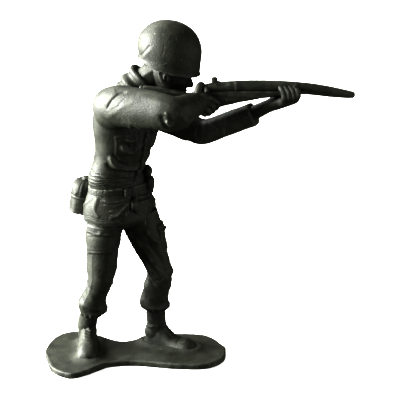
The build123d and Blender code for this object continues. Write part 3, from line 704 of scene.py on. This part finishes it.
# each button sits on the near side, on the point of the grid that is nearest to its place on the fly
fly = [(13.4, 26.4, 0), (12.2, 21.4, 0), (11.2, 16.0, 0), (9.6, 10.4, 0), (7.6, 4.6, 0)]
out = np.array([0.62, -0.78, 0.0])
far_side = torso[..., 1].ravel() > BELT[1] - 1.0
buttons = []
for share in (0.10, 0.36, 0.62, 0.86):
    face = (torso - BELT)[..., [0, 2]] - flowing(fly, 60)[int(share * 59), :2]
    middle = torso.reshape(-1, 3)[(np.hypot(*face.reshape(-1, 2).T) + 9.0 * far_side).argmin()]
    profile = ((-0.9, 0.8), (0.0, 0.85), (0.35, 0.75), (0.5, 0.4))
    dot = [np.r_[middle + out * proud, r, r] for proud, r in profile]
    buttons.append(limb(dot, (0, 0, 1), blunt=(0.2, 0.3), step=0.14)[0])
cast_fused("jacket", [torso, right_sleeve, left_sleeve, collar] + buttons, 0.27, 2, "jacket_body",
           "right_sleeve", "left_sleeve", "collar", "right_breast_pocket", "left_breast_pocket")

# ---- Belt and buckle ---------------------------------------------------------------------
# A web belt drawn tight over the jacket, with rows of eyelets in pairs and a flat plate buckle.
# In the mould it is only a low band round the waist.

band = [(-1.8, -0.9), (-1.95, -0.3), (-1.8, 0.0), (-1.5, 0.12)]
band += [(height, 0.13 + 0.04 * (1 - (height / 1.5) ** 2)) for height in np.linspace(-1.3, 1.3, 12)]
band += [(1.5, 0.12), (1.8, 0.0), (1.95, -0.3), (1.8, -0.9)]
around = np.linspace(0, 2 * np.pi, 330, endpoint=False)
waist_front = np.array([np.cos(np.radians(55)), -np.sin(np.radians(55)), 0])
waist_right = np.cross(waist_front, (0, 0, 1))
belt_rows = []
for height, proud in band:
    wide, deep = 13.45 - 0.09 * height + proud, 9.45 - 0.07 * height + proud
    ring = deep * np.cos(around)[:, None] * waist_front + wide * np.sin(around)[:, None] * waist_right
    belt_rows.append(ring + BELT + [0.0, 0.0, height])
belt_rows = np.array(belt_rows)
height = belt_rows[..., 2] - BELT[2]
pair = (around * 12 / np.pi) % 1 - 0.5
eyelets = sum(
    bell(pair * 3.0 / 0.34) * bell((height - row) / 0.34) for row in (-0.95, 0.95))
belt_rows = belt_rows + (0.18 * np.sin(2 * around + 1))[:, None] * np.array([0, 0, 1])
belt_rows = raised(belt_rows, -0.18 * eyelets * (np.abs(height) < 1.6))
belt_rows = np.concatenate([belt_rows, belt_rows[:1]])
cast_grid("web_belt", belt_rows, "belt")


def rounded(middle, yaw, size, tilt=0.0, square=4.0, count=110):
    """A block with swelling faces and round edges: each direction of a sphere reaches out to where
    |x|^n + |y|^n + |z|^n = 1, scaled to the half sizes and turned. Gives the grid and its own x, y, z."""
    low = np.linspace(-np.pi / 2, np.pi / 2, count // 2)[:, None]
    round_at = np.linspace(0, 2 * np.pi, count, endpoint=False)[None]
    way = [np.cos(low) * np.cos(round_at), np.cos(low) * np.sin(round_at), np.sin(low) + 0 * round_at]
    way = np.stack(way, -1)
    own = way / (np.abs(way) ** square).sum(-1, keepdims=True) ** (1 / square) * np.array(size) / 2
    yaw, tilt = np.radians(yaw), np.radians(tilt)
    out = np.array([np.cos(yaw) * np.cos(tilt), -np.sin(yaw) * np.cos(tilt), -np.sin(tilt)])
    across = np.array([np.sin(yaw), np.cos(yaw), 0])
    return middle + own @ np.stack([out, across, np.cross(out, across)]), own


buckle, own = rounded(spot("belt_buckle", 0.42, 0.52), 57, (1.2, 4.4, 3.4), square=5.0)
frame_edge = np.minimum(2.3 - np.abs(own[..., 1]), 2.0 - np.abs(own[..., 2]))
buckle = raised(buckle, -0.4 * np.clip((frame_edge - 0.7) / 0.4, 0, 1) * (own[..., 0] > 0.5))
cast_grid("buckle", buckle, "belt_buckle")

# ---- Canteen -----------------------------------------------------------------------------
# A kidney-shaped canteen in a cloth cover, slung from the belt at the back: a seam round its
# middle, two cover flaps over the shoulders with a stud each, and the cap on a short neck.

canteen_low, canteen_high = spot("canteen", 0.52, 0.40, 0.04), spot("canteen", 0.76, 0.40, 1.0)
axis = canteen_high - canteen_low
sizes = [
    (-0.005, 0.2), (0.0, 0.6), (0.012, 0.86), (0.05, 0.95), (0.2, 0.99), (0.45, 1.0), (0.62, 1.0),
    (0.78, 0.98), (0.89, 0.9), (0.96, 0.72), (0.995, 0.46), (1.01, 0.1),
]
flask, along, a = limb(
    [np.r_[canteen_low + axis * s, 6.3 * w, 5.3 * w] for s, w in sizes], (-1, 0, 0), square=2.3)
share = along / along.max()
tall = np.linalg.norm(axis)
seam = 0.34 * bell((share - 0.53) * tall / 0.28)
seam = seam - 0.2 * bell((share - 0.585) * tall / 0.3)
flaps = sum(sewn_on((a - side) * 5.4, (share - 0.86) * tall, 5.6, 8.4, 0.2) for side in (-1.0, 1.0))
studs = sum(
    bell((a - side) * 5.4 / 0.7) * bell(((share - 0.64) * tall) / 0.7)
    for side in (-1.0, 1.0))
hem_band = sewn_on(0 * a, (share - 0.07) * tall, 9.0, 1.3, 0.16)
creases = 0.12 * np.sin(7 * a + 3 * share) * bell((share - 0.2) / 0.2)
flask = raised(flask, seam + flaps + 0.35 * studs + hem_band + creases)
cap_low, cap_high = spot("canteen_cap", 0.85, 0.35, -0.5), spot("canteen_cap", 1.0, 0.35, 0.8)
ribs = [
    (0.0, 1.5), (0.34, 1.5), (0.36, 1.8), (0.62, 1.8), (0.7, 1.55), (0.74, 1.75), (0.94, 1.6), (1.0, 1.1),
    (1.01, 0.2),
]
neck_and_cap, along, a = limb(
    [np.r_[cap_low + (cap_high - cap_low) * s, r, r] for s, r in ribs], (-1, 0, 0), step=0.2)
neck_and_cap = raised(neck_and_cap, 0.1 * np.cos(16 * a) * (along > 1.6) * (along < 3.6))
cast_fused("canteen_in_cover", [flask], 0.22, 1, "canteen")
cast_fused("cap", [neck_and_cap], 0.16, 1, "canteen_cap")

# ---- Ammunition pouch --------------------------------------------------------------------
# A small two-cell pouch on the far side of the belt, with a rolled flap closed by a strap.

pouch_yaw = -20
pouch, own = rounded(spot("ammo_pouch", 0.42, 0.5, 0.42), pouch_yaw, (4.6, 8.2, 8.0), tilt=8.0, square=3.2)
between_cells = -0.6 * bell(own[..., 1] / 0.6) * (own[..., 0] > 0)
pouch = raised(pouch, between_cells + 0.25 * bell((own[..., 2] + 2.8) / 0.5))
flap, own = rounded(
    spot("ammo_pouch_flap", 0.34, 0.5, 0.46), pouch_yaw, (4.2, 8.4, 4.8), tilt=8.0, square=2.6)
strap = 0.4 * np.clip(1.6 - np.abs(own[..., 1]), 0, 0.4) / 0.4 * (own[..., 0] > 0)
flap = raised(flap, strap - 0.3 * bell((own[..., 2] + 1.5) / 0.35))
cast_fused("pouch", [pouch], 0.22, 1, "ammo_pouch")
cast_fused("pouch_flap", [flap], 0.22, 1, "ammo_pouch_flap")

# ---- Head --------------------------------------------------------------------------------
# Neck and head, tipped forward so that the cheek lies on the stock. The face is a calm, ordinary
# one: eyes half way down the head, nose half way from them to the chin, mouth a third below it.

PITCH = np.radians(17.0)
AHEAD = np.array([np.cos(PITCH), 0.0, -np.sin(PITCH)])
ABOVE = np.array([np.sin(PITCH), 0.0, np.cos(PITCH)])
BESIDE = np.array([0.0, 1.0, 0.0])
HEAD = spot("head", 0.644, 0.5, 0.504)
HALF_FACE = 9.6
# the level from the chin (-1) to the crown (1), and the forward, backward and sideways half sizes
face_levels = flowing([(0, 0, *row) for row in [
    (-1.02, 1.0, 1.0, 1.0), (-1.0, 5.6, 2.0, 2.6), (-0.93, 7.2, 2.6, 3.6), (-0.78, 8.1, 4.0, 4.9),
    (-0.6, 8.3, 5.6, 5.8), (-0.4, 8.3, 7.2, 6.4), (-0.2, 8.2, 8.2, 6.9), (0.0, 8.1, 8.8, 7.2),
    (0.25, 8.3, 9.0, 7.3), (0.5, 7.8, 8.5, 6.9), (0.75, 6.2, 6.9, 5.6), (0.92, 3.8, 4.4, 3.5),
    (1.0, 0.6, 0.8, 0.6),
]], 150)
a = np.linspace(0, 2 * np.pi, 190, endpoint=False)[None]
level = face_levels[:, 2, None]
forward = np.where(np.cos(a) > 0, face_levels[:, 3, None], face_levels[:, 4, None]) * np.cos(a)
forward = np.sign(np.cos(a)) * np.abs(forward)
sideways = face_levels[:, 5, None] * np.sin(a)
skull = HEAD + forward[..., None] * AHEAD + sideways[..., None] * BESIDE
skull = skull + (level * HALF_FACE)[..., None] * ABOVE
# features: sideways place and level, half sizes, height; each is a bell curve on the face side
features = [
    (0.0, 0.36, 4.6, 1.4, 0.35), (0.0, -0.02, 0.9, 1.3, 1.0), (0.0, -0.17, 0.95, 1.3, 1.5),
    (0.0, -0.31, 1.1, 1.1, 2.1), (0.0, -0.41, 1.1, 0.6, 1.4), (0.0, -0.46, 1.0, 0.45, -0.5),
    (0.0, -0.6, 2.2, 1.0, 0.5), (0.0, -0.605, 1.7, 0.36, 0.55), (0.0, -0.68, 1.5, 0.42, 0.7),
    (0.0, -0.642, 2.3, 0.17, -0.65), (0.0, -0.75, 1.5, 0.4, -0.5), (0.0, -0.87, 1.7, 0.95, 0.9),
]
for side in (-1, 1):
    features += [(side * place, *row) for place, *row in (
        (2.7, 0.15, 2.0, 0.75, 0.95), (2.9, -0.005, 1.7, 1.25, -1.5), (2.9, -0.02, 1.25, 0.8, 1.0),
        (2.9, 0.035, 1.3, 0.16, -0.3), (2.9, -0.05, 1.25, 0.16, -0.35), (1.25, -0.36, 0.6, 0.55, 0.9),
        (4.2, -0.24, 1.7, 1.3, 0.65), (3.2, -0.52, 0.5, 1.5, -0.35), (4.0, -0.66, 1.6, 1.6, -0.35),
    )]
relief = 0
for place, at, half_wide, half_tall, tall in features:
    up = (level - at) * HALF_FACE
    relief = relief + tall * bell((sideways - place) / half_wide) * bell(up / half_tall)
skull = raised(skull, relief * np.clip(np.cos(a) * 3, 0, 1))
ears = []
for side in (-1, 1):
    at = HEAD - AHEAD * 0.6 - ABOVE * 1.6 + BESIDE * side * 7.1
    ear, own = rounded(at, -90 * side, (1.7, 2.6, 4.6), tilt=0, square=2.2)
    hollow = -0.5 * bell(own[..., 1] / 0.7) * bell((own[..., 2] - 0.3) / 1.2)
    ears.append(raised(ear, hollow * (own[..., 0] > 0)))
neck, along, a = limb([
    (7.0, -1.0, 40.6, 5.6, 5.6), (10.6, -1.5, 44.6, 5.3, 5.5), (14.6, -2.1, 48.2, 5.3, 5.7),
    (18.6, -2.7, 51.2, 5.0, 5.4),
], (1, 0, 0), blunt=(1.0, 1.5), datum=BELT)
cords = 0.35 * bell((a - 2.2) / 0.2) + 0.35 * bell((a + 2.2) / 0.2)
neck = raised(neck, cords)
cast_fused("head_and_neck", [skull, neck] + ears, 0.2, 1, "head")

# ---- Helmet ------------------------------------------------------------------------------
# A steel pot over the head, hollow underneath: a plain dome with a narrow turned rim that dips a
# little at the sides, some dents and a long shallow crease low down at the back.

RIM = spot("helmet", 0.4815, 0.5, 0.168)
HALF_LONG, HALF_WIDE, DEEP = 13.7, 11.6, 18.7
# both sides of the pot: height over the rim, shift to the back, share of the half sizes
inner = [(3.4, 0.0, share) for share in np.linspace(0, 0.8, 26)]
inner += [(3.1, 0.0, 0.86), (2.2, 0.0, 0.895), (0.8, 0.0, 0.905), (0.1, 0.0, 0.915), (-0.15, 0.0, 0.935)]
outer = flowing([
    (-0.1, 0.0, 0.955), (0.15, 0.0, 0.975), (0.6, 0.05, 0.972), (1.2, 0.2, 0.952), (2.4, 0.5, 0.958),
    (5.2, 1.3, 0.98), (9.0, 1.8, 0.965), (11.5, 1.9, 0.905), (13.8, 1.9, 0.80), (15.6, 1.85, 0.675),
    (17.0, 1.8, 0.53), (18.0, 1.75, 0.36), (DEEP - 0.15, 1.7, 0.17), (DEEP, 1.7, 0.0),
], 120)
shape = np.vstack([inner, outer])
a = np.linspace(0, 2 * np.pi, 260, endpoint=False)[None]
dip = 0.55 * np.sin(a) ** 2 - 0.5 * np.clip(np.cos(a), 0, 1) ** 3
dip = np.exp(-np.maximum(shape[:, 0, None], 0) / 3.0) * dip
ahead = shape[:, 2, None] * HALF_LONG * np.cos(a) - shape[:, 1, None]
pot = RIM + ahead[..., None] * AHEAD + (shape[:, 2, None] * HALF_WIDE * np.sin(a))[..., None] * BESIDE
pot = pot + (shape[:, 0, None] - dip)[..., None] * ABOVE
marks = drawn(pot, "-Y", [
    (-0.16, 0.4, [(9.6, 56.6), (12.2, 60.1), (15.0, 63.4)]),
    (0.08, 0.5, [(10.6, 56.0), (13.2, 59.4), (15.8, 62.2)]),
    (0.12, 0.4, [(27.4, 68.6), (28.9, 66.2), (31.0, 63.0)]), (0.08, 0.35, [(25.0, 66.4), (26.4, 64.4)]),
    (-0.07, 0.4, [(19.0, 59.0), (20.0, 61.5), (20.4, 64.0)]), (0.07, 0.35, [(20.0, 55.4), (21.6, 56.6)]),
    (-0.12, 0.5, [(30.0, 58.0), (31.6, 55.0), (32.0, 52.6)]),
], BELT)
x, y, z = pot[..., 0], pot[..., 1], pot[..., 2]
dents = 0.05 * np.sin(0.5 * x + 1.2 * np.sin(0.4 * z)) * np.cos(0.45 * y + 0.3 * z)
outside = np.arange(len(shape))[:, None] > len(inner) + 12
pot = raised(pot, (marks + dents) * outside)
cast_grid("helmet_pot", pot, "helmet")

# ---- Chin strap --------------------------------------------------------------------------
# A narrow web strap from inside the helmet, down in front of each ear and under the chin.

strap_path = HEAD + np.array([
    (-4.0, -7.0, 3.0), (-3.6, -7.75, 0.0), (-2.6, -7.7, -2.6), (-0.6, -6.9, -5.4), (1.2, -4.6, -8.2),
    (1.9, 0.0, -9.9), (1.2, 4.6, -8.2), (-0.6, 6.9, -5.4), (-2.6, 7.7, -2.6), (-3.6, 7.75, 0.0),
    (-4.0, 7.0, 3.0),
])
strap_sizes = np.tile((0.5, 0.72), (len(strap_path), 1))
ribbon = limb(np.c_[strap_path, strap_sizes], AHEAD, (0.5, 0.5), square=3.5, step=0.2)[0]
cast_grid("strap", ribbon, "chin_strap")

# ---- Rifle -------------------------------------------------------------------------------
# A bolt rifle on one level plane: a wooden stock with a groove along its side, the receiver and
# its rear sight, a handguard, and a barrel that has sagged since the toy came out of its mould.

RIFLE = spot("rifle_stock")


def along_rifle(rows, **shape):
    """A limb on the rifle's plane, from rows of (x, low z, high z, half thickness), counted from the
    middle of the stock."""
    stations = [(x, 0, (low + high) / 2, thick, (high - low) / 2) for x, low, high, thick in rows]
    return limb(stations, (0, 0, 1), datum=RIFLE, **shape)


stock, along, a = along_rifle([
    (-31.5, -4.1, 4.9, 2.0), (-30.5, -4.5, 5.2, 2.2), (-26.5, -4.9, 4.9, 2.3), (-21.5, -5.1, 4.3, 2.3),
    (-16.5, -4.6, 3.3, 2.2), (-11.5, -3.8, 2.2, 2.0), (-8.5, -3.8, 2.5, 2.0), (-5.5, -4.4, 3.3, 2.1),
    (-2.5, -4.5, 3.5, 2.2), (1.5, -3.5, 3.5, 2.2), (7.5, -2.0, 3.5, 2.15), (15.5, -0.4, 3.5, 2.1),
    (23.5, 0.8, 3.5, 2.05), (31.5, 1.7, 3.7, 2.0), (36.5, 2.0, 3.7, 1.9), (37.1, 2.2, 3.6, 1.6),
], square=3.4, blunt=(0.6, 0.5))
plate_line = -0.3 * bell((along - 1.5) / 0.22)
grain = 0.06 * np.sin(3.2 * stock[..., 2] + 0.35 * stock[..., 0] + 1.5 * np.sin(0.2 * stock[..., 0]))
stock = raised(stock, plate_line + grain * (along > 2.2))
cast_fused("stock", [stock], 0.25, 1, "rifle_stock")
receiver, along, a = along_rifle([
    (-6.7, 3.1, 4.1, 1.0), (-5.9, 2.9, 4.9, 1.5), (-4.0, 2.9, 5.8, 1.85), (-0.5, 2.9, 6.5, 1.95),
    (5.5, 2.9, 7.0, 2.0), (7.9, 2.9, 7.1, 2.0),
], square=2.6, blunt=(0.5, 0.4))
port = -0.6 * np.exp(-(((along - 9.4) / 2.2) ** 4) - ((a - 0.9) / 0.35) ** 2)
bolt = limb([
    (-4.3, -1.4, 4.9, 0.75, 0.75), (-4.1, -2.6, 4.5, 0.7, 0.7), (-3.9, -3.4, 3.7, 0.95, 0.95),
    (-3.8, -3.6, 3.1, 0.7, 0.7),
], (0, 0, 1), (0.3, 0.7), step=0.2, datum=RIFLE)[0]
cast_fused("receiver", [raised(receiver, port), bolt], 0.22, 1, "rifle_receiver")
sight = limb([
    (-0.5, 0.0, 5.9, 1.0, 1.3), (-0.6, 0.0, 7.3, 1.0, 1.2), (-0.7, 0.0, 8.4, 1.0, 1.15),
    (-0.7, 0.0, 8.8, 0.7, 0.9),
], (1, 0, 0), (0.3, 0.4), square=3.5, step=0.16, datum=RIFLE)[0]
ramp = along_rifle([
    (-2.1, 5.7, 6.7, 0.9), (0.7, 5.7, 7.1, 0.95), (2.5, 5.7, 6.7, 0.9),
], square=3.0, blunt=(0.6, 0.9), step=0.16)[0]
cast_fused("rear_sight_leaf", [sight, ramp], 0.16, 1, "rear_sight")
guard, along, a = along_rifle([
    (7.1, 2.9, 6.9, 2.0), (9.5, 2.9, 7.3, 2.05), (17.5, 3.0, 7.4, 2.05), (25.5, 3.1, 7.2, 2.0),
    (32.9, 3.2, 6.7, 1.95), (33.5, 3.3, 6.5, 1.8),
], square=2.3, blunt=(0.5, 0.5))
bands = sum(0.1 * np.exp(-(((along - at) / 0.7) ** 4)) for at in (1.0, 25.2))
cast_fused("handguard", [raised(guard, bands)], 0.24, 1, "rifle_handguard")
barrel = limb([
    (30.5, 0.0, 5.0, 1.75, 1.75), (34.5, 0.0, 4.8, 1.75, 1.8), (39.5, 0.0, 4.2, 1.7, 1.8),
    (44.5, 0.0, 3.4, 1.65, 1.75), (49.5, 0.0, 2.5, 1.5, 1.6), (53.5, 0.0, 1.7, 1.4, 1.45),
    (56.2, 0.0, 1.1, 1.35, 1.4),
], (0, 0, 1), (0.6, 1.3), datum=RIFLE)[0]
lower_rod = limb([
    (34.5, 0.0, 2.8, 1.3, 1.1), (39.5, 0.0, 2.4, 1.25, 1.1), (45.5, 0.0, 1.6, 1.15, 1.0),
    (51.5, 0.0, 0.9, 1.0, 0.8), (54.9, 0.0, 0.5, 0.8, 0.6),
], (0, 0, 1), (0.6, 1.4), datum=RIFLE)[0]
cast_fused("barrel", [barrel, lower_rod], 0.22, 1, "rifle_barrel")
loop = [(-4.3, -3.1), (-4.0, -4.7), (-2.5, -5.2), (-0.3, -4.9), (1.1, -3.5), (1.7, -1.9)]
loop = limb([(x, 0, z, 0.95, 0.5) for x, z in loop], (0, 0, 1), (0.3, 0.3), square=3.0, step=0.16,
            datum=RIFLE)[0]
trigger = limb([
    (-2.1, 0.0, -2.5, 0.5, 0.6), (-1.6, 0.0, -3.4, 0.45, 0.45), (-1.1, 0.0, -4.0, 0.35, 0.35),
], (1, 0, 0), (0.2, 0.3), step=0.14, datum=RIFLE)[0]
cast_fused("guard_loop", [loop, trigger], 0.15, 1, "trigger_guard")

# ---- Right hand --------------------------------------------------------------------------
# It grips the wrist of the stock: the thumb stands up over it, the first finger reaches into the
# trigger guard, and three fingers close round underneath.

def finger(points, base=1.2, tip=0.95, knuckles=(0.3, 0.62)):
    """A finger through its joints, counted from the middle of the rifle's stock. It is slimmer
    towards the tip and a little thicker at the knuckles."""
    rows = flowing(np.c_[np.array(points, float), np.linspace(base, tip, len(points))], 24)
    share = np.linspace(0, 1, 24)
    rows[:, 3] += sum(0.14 * bell((share - at) / 0.09) for at in knuckles)
    return limb(np.c_[rows, rows[:, 3]], (0.3, 0.2, 1), (0.8, tip), step=0.2, datum=RIFLE)[0]


right_palm = limb([
    (-9.9, -4.4, -2.1, 3.7, 4.0), (-7.5, -3.0, -1.3, 3.7, 4.5), (-5.1, -2.6, -1.2, 3.5, 4.7),
    (-2.9, -2.5, -1.5, 2.8, 3.8), (-1.7, -2.3, -1.8, 1.8, 2.6),
], (0, 0, 1), (1.0, 1.6), datum=RIFLE)[0]
thumb = finger([
    (-7.9, -3.4, 0.5), (-7.3, -2.8, 3.3), (-6.7, -1.6, 5.3), (-5.7, 0.4, 5.3), (-5.1, 2.4, 3.9),
], 1.75, 1.15)
right_fingers = [
    finger([
        (-4.5, -4.0, 0.9), (-1.9, -3.8, 0.5), (0.3, -2.8, -1.1), (0.3, -1.2, -2.9), (-0.7, 0.2, -3.3),
    ]),
    finger([
        (-5.1, -4.6, -0.9), (-2.3, -4.4, -1.7), (-1.1, -2.6, -4.1), (-2.3, 0.2, -5.5), (-4.1, 2.1, -4.3),
    ]),
    finger([
        (-5.7, -4.7, -2.9), (-3.5, -4.5, -3.9), (-2.7, -2.4, -5.7), (-4.1, 0.2, -6.1), (-5.9, 2.0, -4.7),
    ]),
    finger([
        (-6.5, -4.4, -4.7), (-4.9, -3.9, -5.5), (-4.6, -2.0, -6.3), (-5.9, 0.2, -6.1), (-7.3, 1.8, -4.9),
    ], 1.1, 0.85),
]
cast_fused("right_hand_grip", [right_palm, thumb] + right_fingers, 0.2, 6, "right_hand")

# ---- Left hand ---------------------------------------------------------------------------
# It carries the fore-end from below: the palm under the wood, four fingers up the near side and
# over the edge of the handguard, and the thumb up the far side.

left_palm = limb([
    (14.1, 6.7, -8.9, 2.8, 3.0), (17.5, 5.4, -6.7, 2.7, 2.9), (21.5, 3.6, -4.2, 2.7, 2.7),
    (25.1, 2.0, -2.2, 3.3, 3.0), (28.5, 1.0, -0.9, 3.9, 2.8), (31.5, 0.4, 0.0, 3.6, 2.4),
    (33.3, 0.1, 0.5, 2.4, 1.8),
], (0, 0, 1), (1.0, 2.0), datum=RIFLE)[0]
left_fingers = [
    finger([
        (x - 1.4, 2.6, rise - 2.1), (x - 0.2, -1.4, rise - 2.1), (x + 0.8, -3.0, rise - 0.1),
        (x + 0.7, -3.0, rise + 2.2), (x - 0.2, -2.2, 4.1), (x - 1.2, -0.9, 5.5),
    ], 1.2, 1.0, (0.3, 0.58, 0.8))
    for x, rise in ((26.5, 0.2), (28.4, 0.6), (30.3, 1.0), (32.0, 1.4))
]
thumb = finger([(23.1, 4.4, -2.1), (25.5, 5.2, 0.9), (28.1, 4.4, 3.5), (30.5, 3.3, 5.1)], 1.7, 1.2)
tendons = [
    limb([(20.5 + k, 1.6 + 0.2 * k, 0.4 * k - 4.1, 0.5, 0.5), (24.5 + k, -0.6, 0.4 * k - 2.5, 0.6, 0.6)],
         (0, 0, 1), (1.0, 1.0), datum=RIFLE)[0]
    for k in (0.0, 1.6, 3.2)
]
cast_fused("left_hand_grip", [left_palm, thumb] + left_fingers + tendons, 0.2, 3, "left_hand")

# ---- Studio ------------------------------------------------------------------------------
# A pale floor, the camera on the right-hand side of the rifleman and looking down, a big soft
# lamp on the left for the wide sheen, one high up behind, and a weak one low down on the right.

FLOOR_HALF = 3.0
UNDER_BASE = -0.2 * MM
floor_mesh = bpy.data.meshes.new("floor")
floor_signs = ((-1, -1), (1, -1), (1, 1), (-1, 1))
floor_corners = [(x * FLOOR_HALF, y * FLOOR_HALF, UNDER_BASE) for x, y in floor_signs]
floor_mesh.from_pydata(floor_corners, [], [(0, 1, 2, 3)])
floor = bpy.data.objects.new("floor", floor_mesh)
bpy.context.scene.collection.objects.link(floor)
paper = bpy.data.materials.new("white_paper")
paper.use_nodes = True
paper_shader = paper.node_tree.nodes["Principled BSDF"]
paper_shader.inputs["Base Color"].default_value = (0.9, 0.9, 0.89, 1)
paper_shader.inputs["Roughness"].default_value = 0.95
paper_shader.inputs["Specular IOR Level"].default_value = 0.1
paper_shader.inputs["Emission Color"].default_value = (1.0, 1.0, 0.995, 1)
paper_shader.inputs["Emission Strength"].default_value = 0.96
floor_mesh.materials.append(paper)
# the lamps, and not the paper, give the figure its sheen
floor.visible_glossy = False
floor.visible_diffuse = False
floor.visible_shadow = False

camera = bpy.data.objects.new("camera", bpy.data.cameras.new("camera"))
bpy.context.scene.collection.objects.link(camera)
camera.location = (0.028, -0.5275, 0.25405)
camera.rotation_euler = (np.radians(71.0), 0, 0)
camera.data.sensor_width = 36.0
camera.data.lens = 119.8
camera.data.clip_start = 0.01
bpy.context.scene.camera = camera
bpy.context.scene.view_settings.view_transform = "Standard"
bpy.context.scene.view_settings.look = "None"
bpy.context.scene.view_settings.gamma = 0.6


def soft_light(name, azimuth, elevation, distance, size, brightness):
    """A square lamp that faces the chest from that many degrees to the left of the camera's side
    and above the floor. Its power is its brightness times pi times its area."""
    turn, lift = np.radians(azimuth), np.radians(elevation)
    way = np.array([-np.sin(turn) * np.cos(lift), -np.cos(turn) * np.cos(lift), np.sin(lift)])
    lamp = bpy.data.lights.new(name, "AREA")
    lamp.shape = "SQUARE"
    lamp.size = size
    lamp.energy = brightness * np.pi * size**2
    holder = bpy.data.objects.new(name, lamp)
    bpy.context.scene.collection.objects.link(holder)
    holder.location = way * distance + (0, 0, 0.08)
    holder.rotation_euler = (np.pi / 2 - lift, 0, -turn)


soft_light("window", 89, 19, 0.8, 0.65, 54.0)
soft_light("rim", 140, 42, 0.9, 0.5, 9.0)
soft_light("door", -72, 3, 0.9, 0.6, 3.4)

world = bpy.data.worlds.new("studio")
bpy.context.scene.world = world
world.use_nodes = True
world.node_tree.nodes.clear()
nodes, link = world.node_tree.nodes, world.node_tree.links.new
seen = nodes.new("ShaderNodeBackground")
seen.inputs["Color"].default_value = (1, 1, 1, 1)
dim = nodes.new("ShaderNodeBackground")
dim.inputs["Color"].default_value = (1.0, 1.06, 0.72, 1)
dim.inputs["Strength"].default_value = 0.22
mix = nodes.new("ShaderNodeMixShader")
link(nodes.new("ShaderNodeLightPath").outputs["Is Camera Ray"], mix.inputs["Fac"])
link(dim.outputs["Background"], mix.inputs[1])
link(seen.outputs["Background"], mix.inputs[2])
link(mix.outputs["Shader"], nodes.new("ShaderNodeOutputWorld").inputs["Surface"])
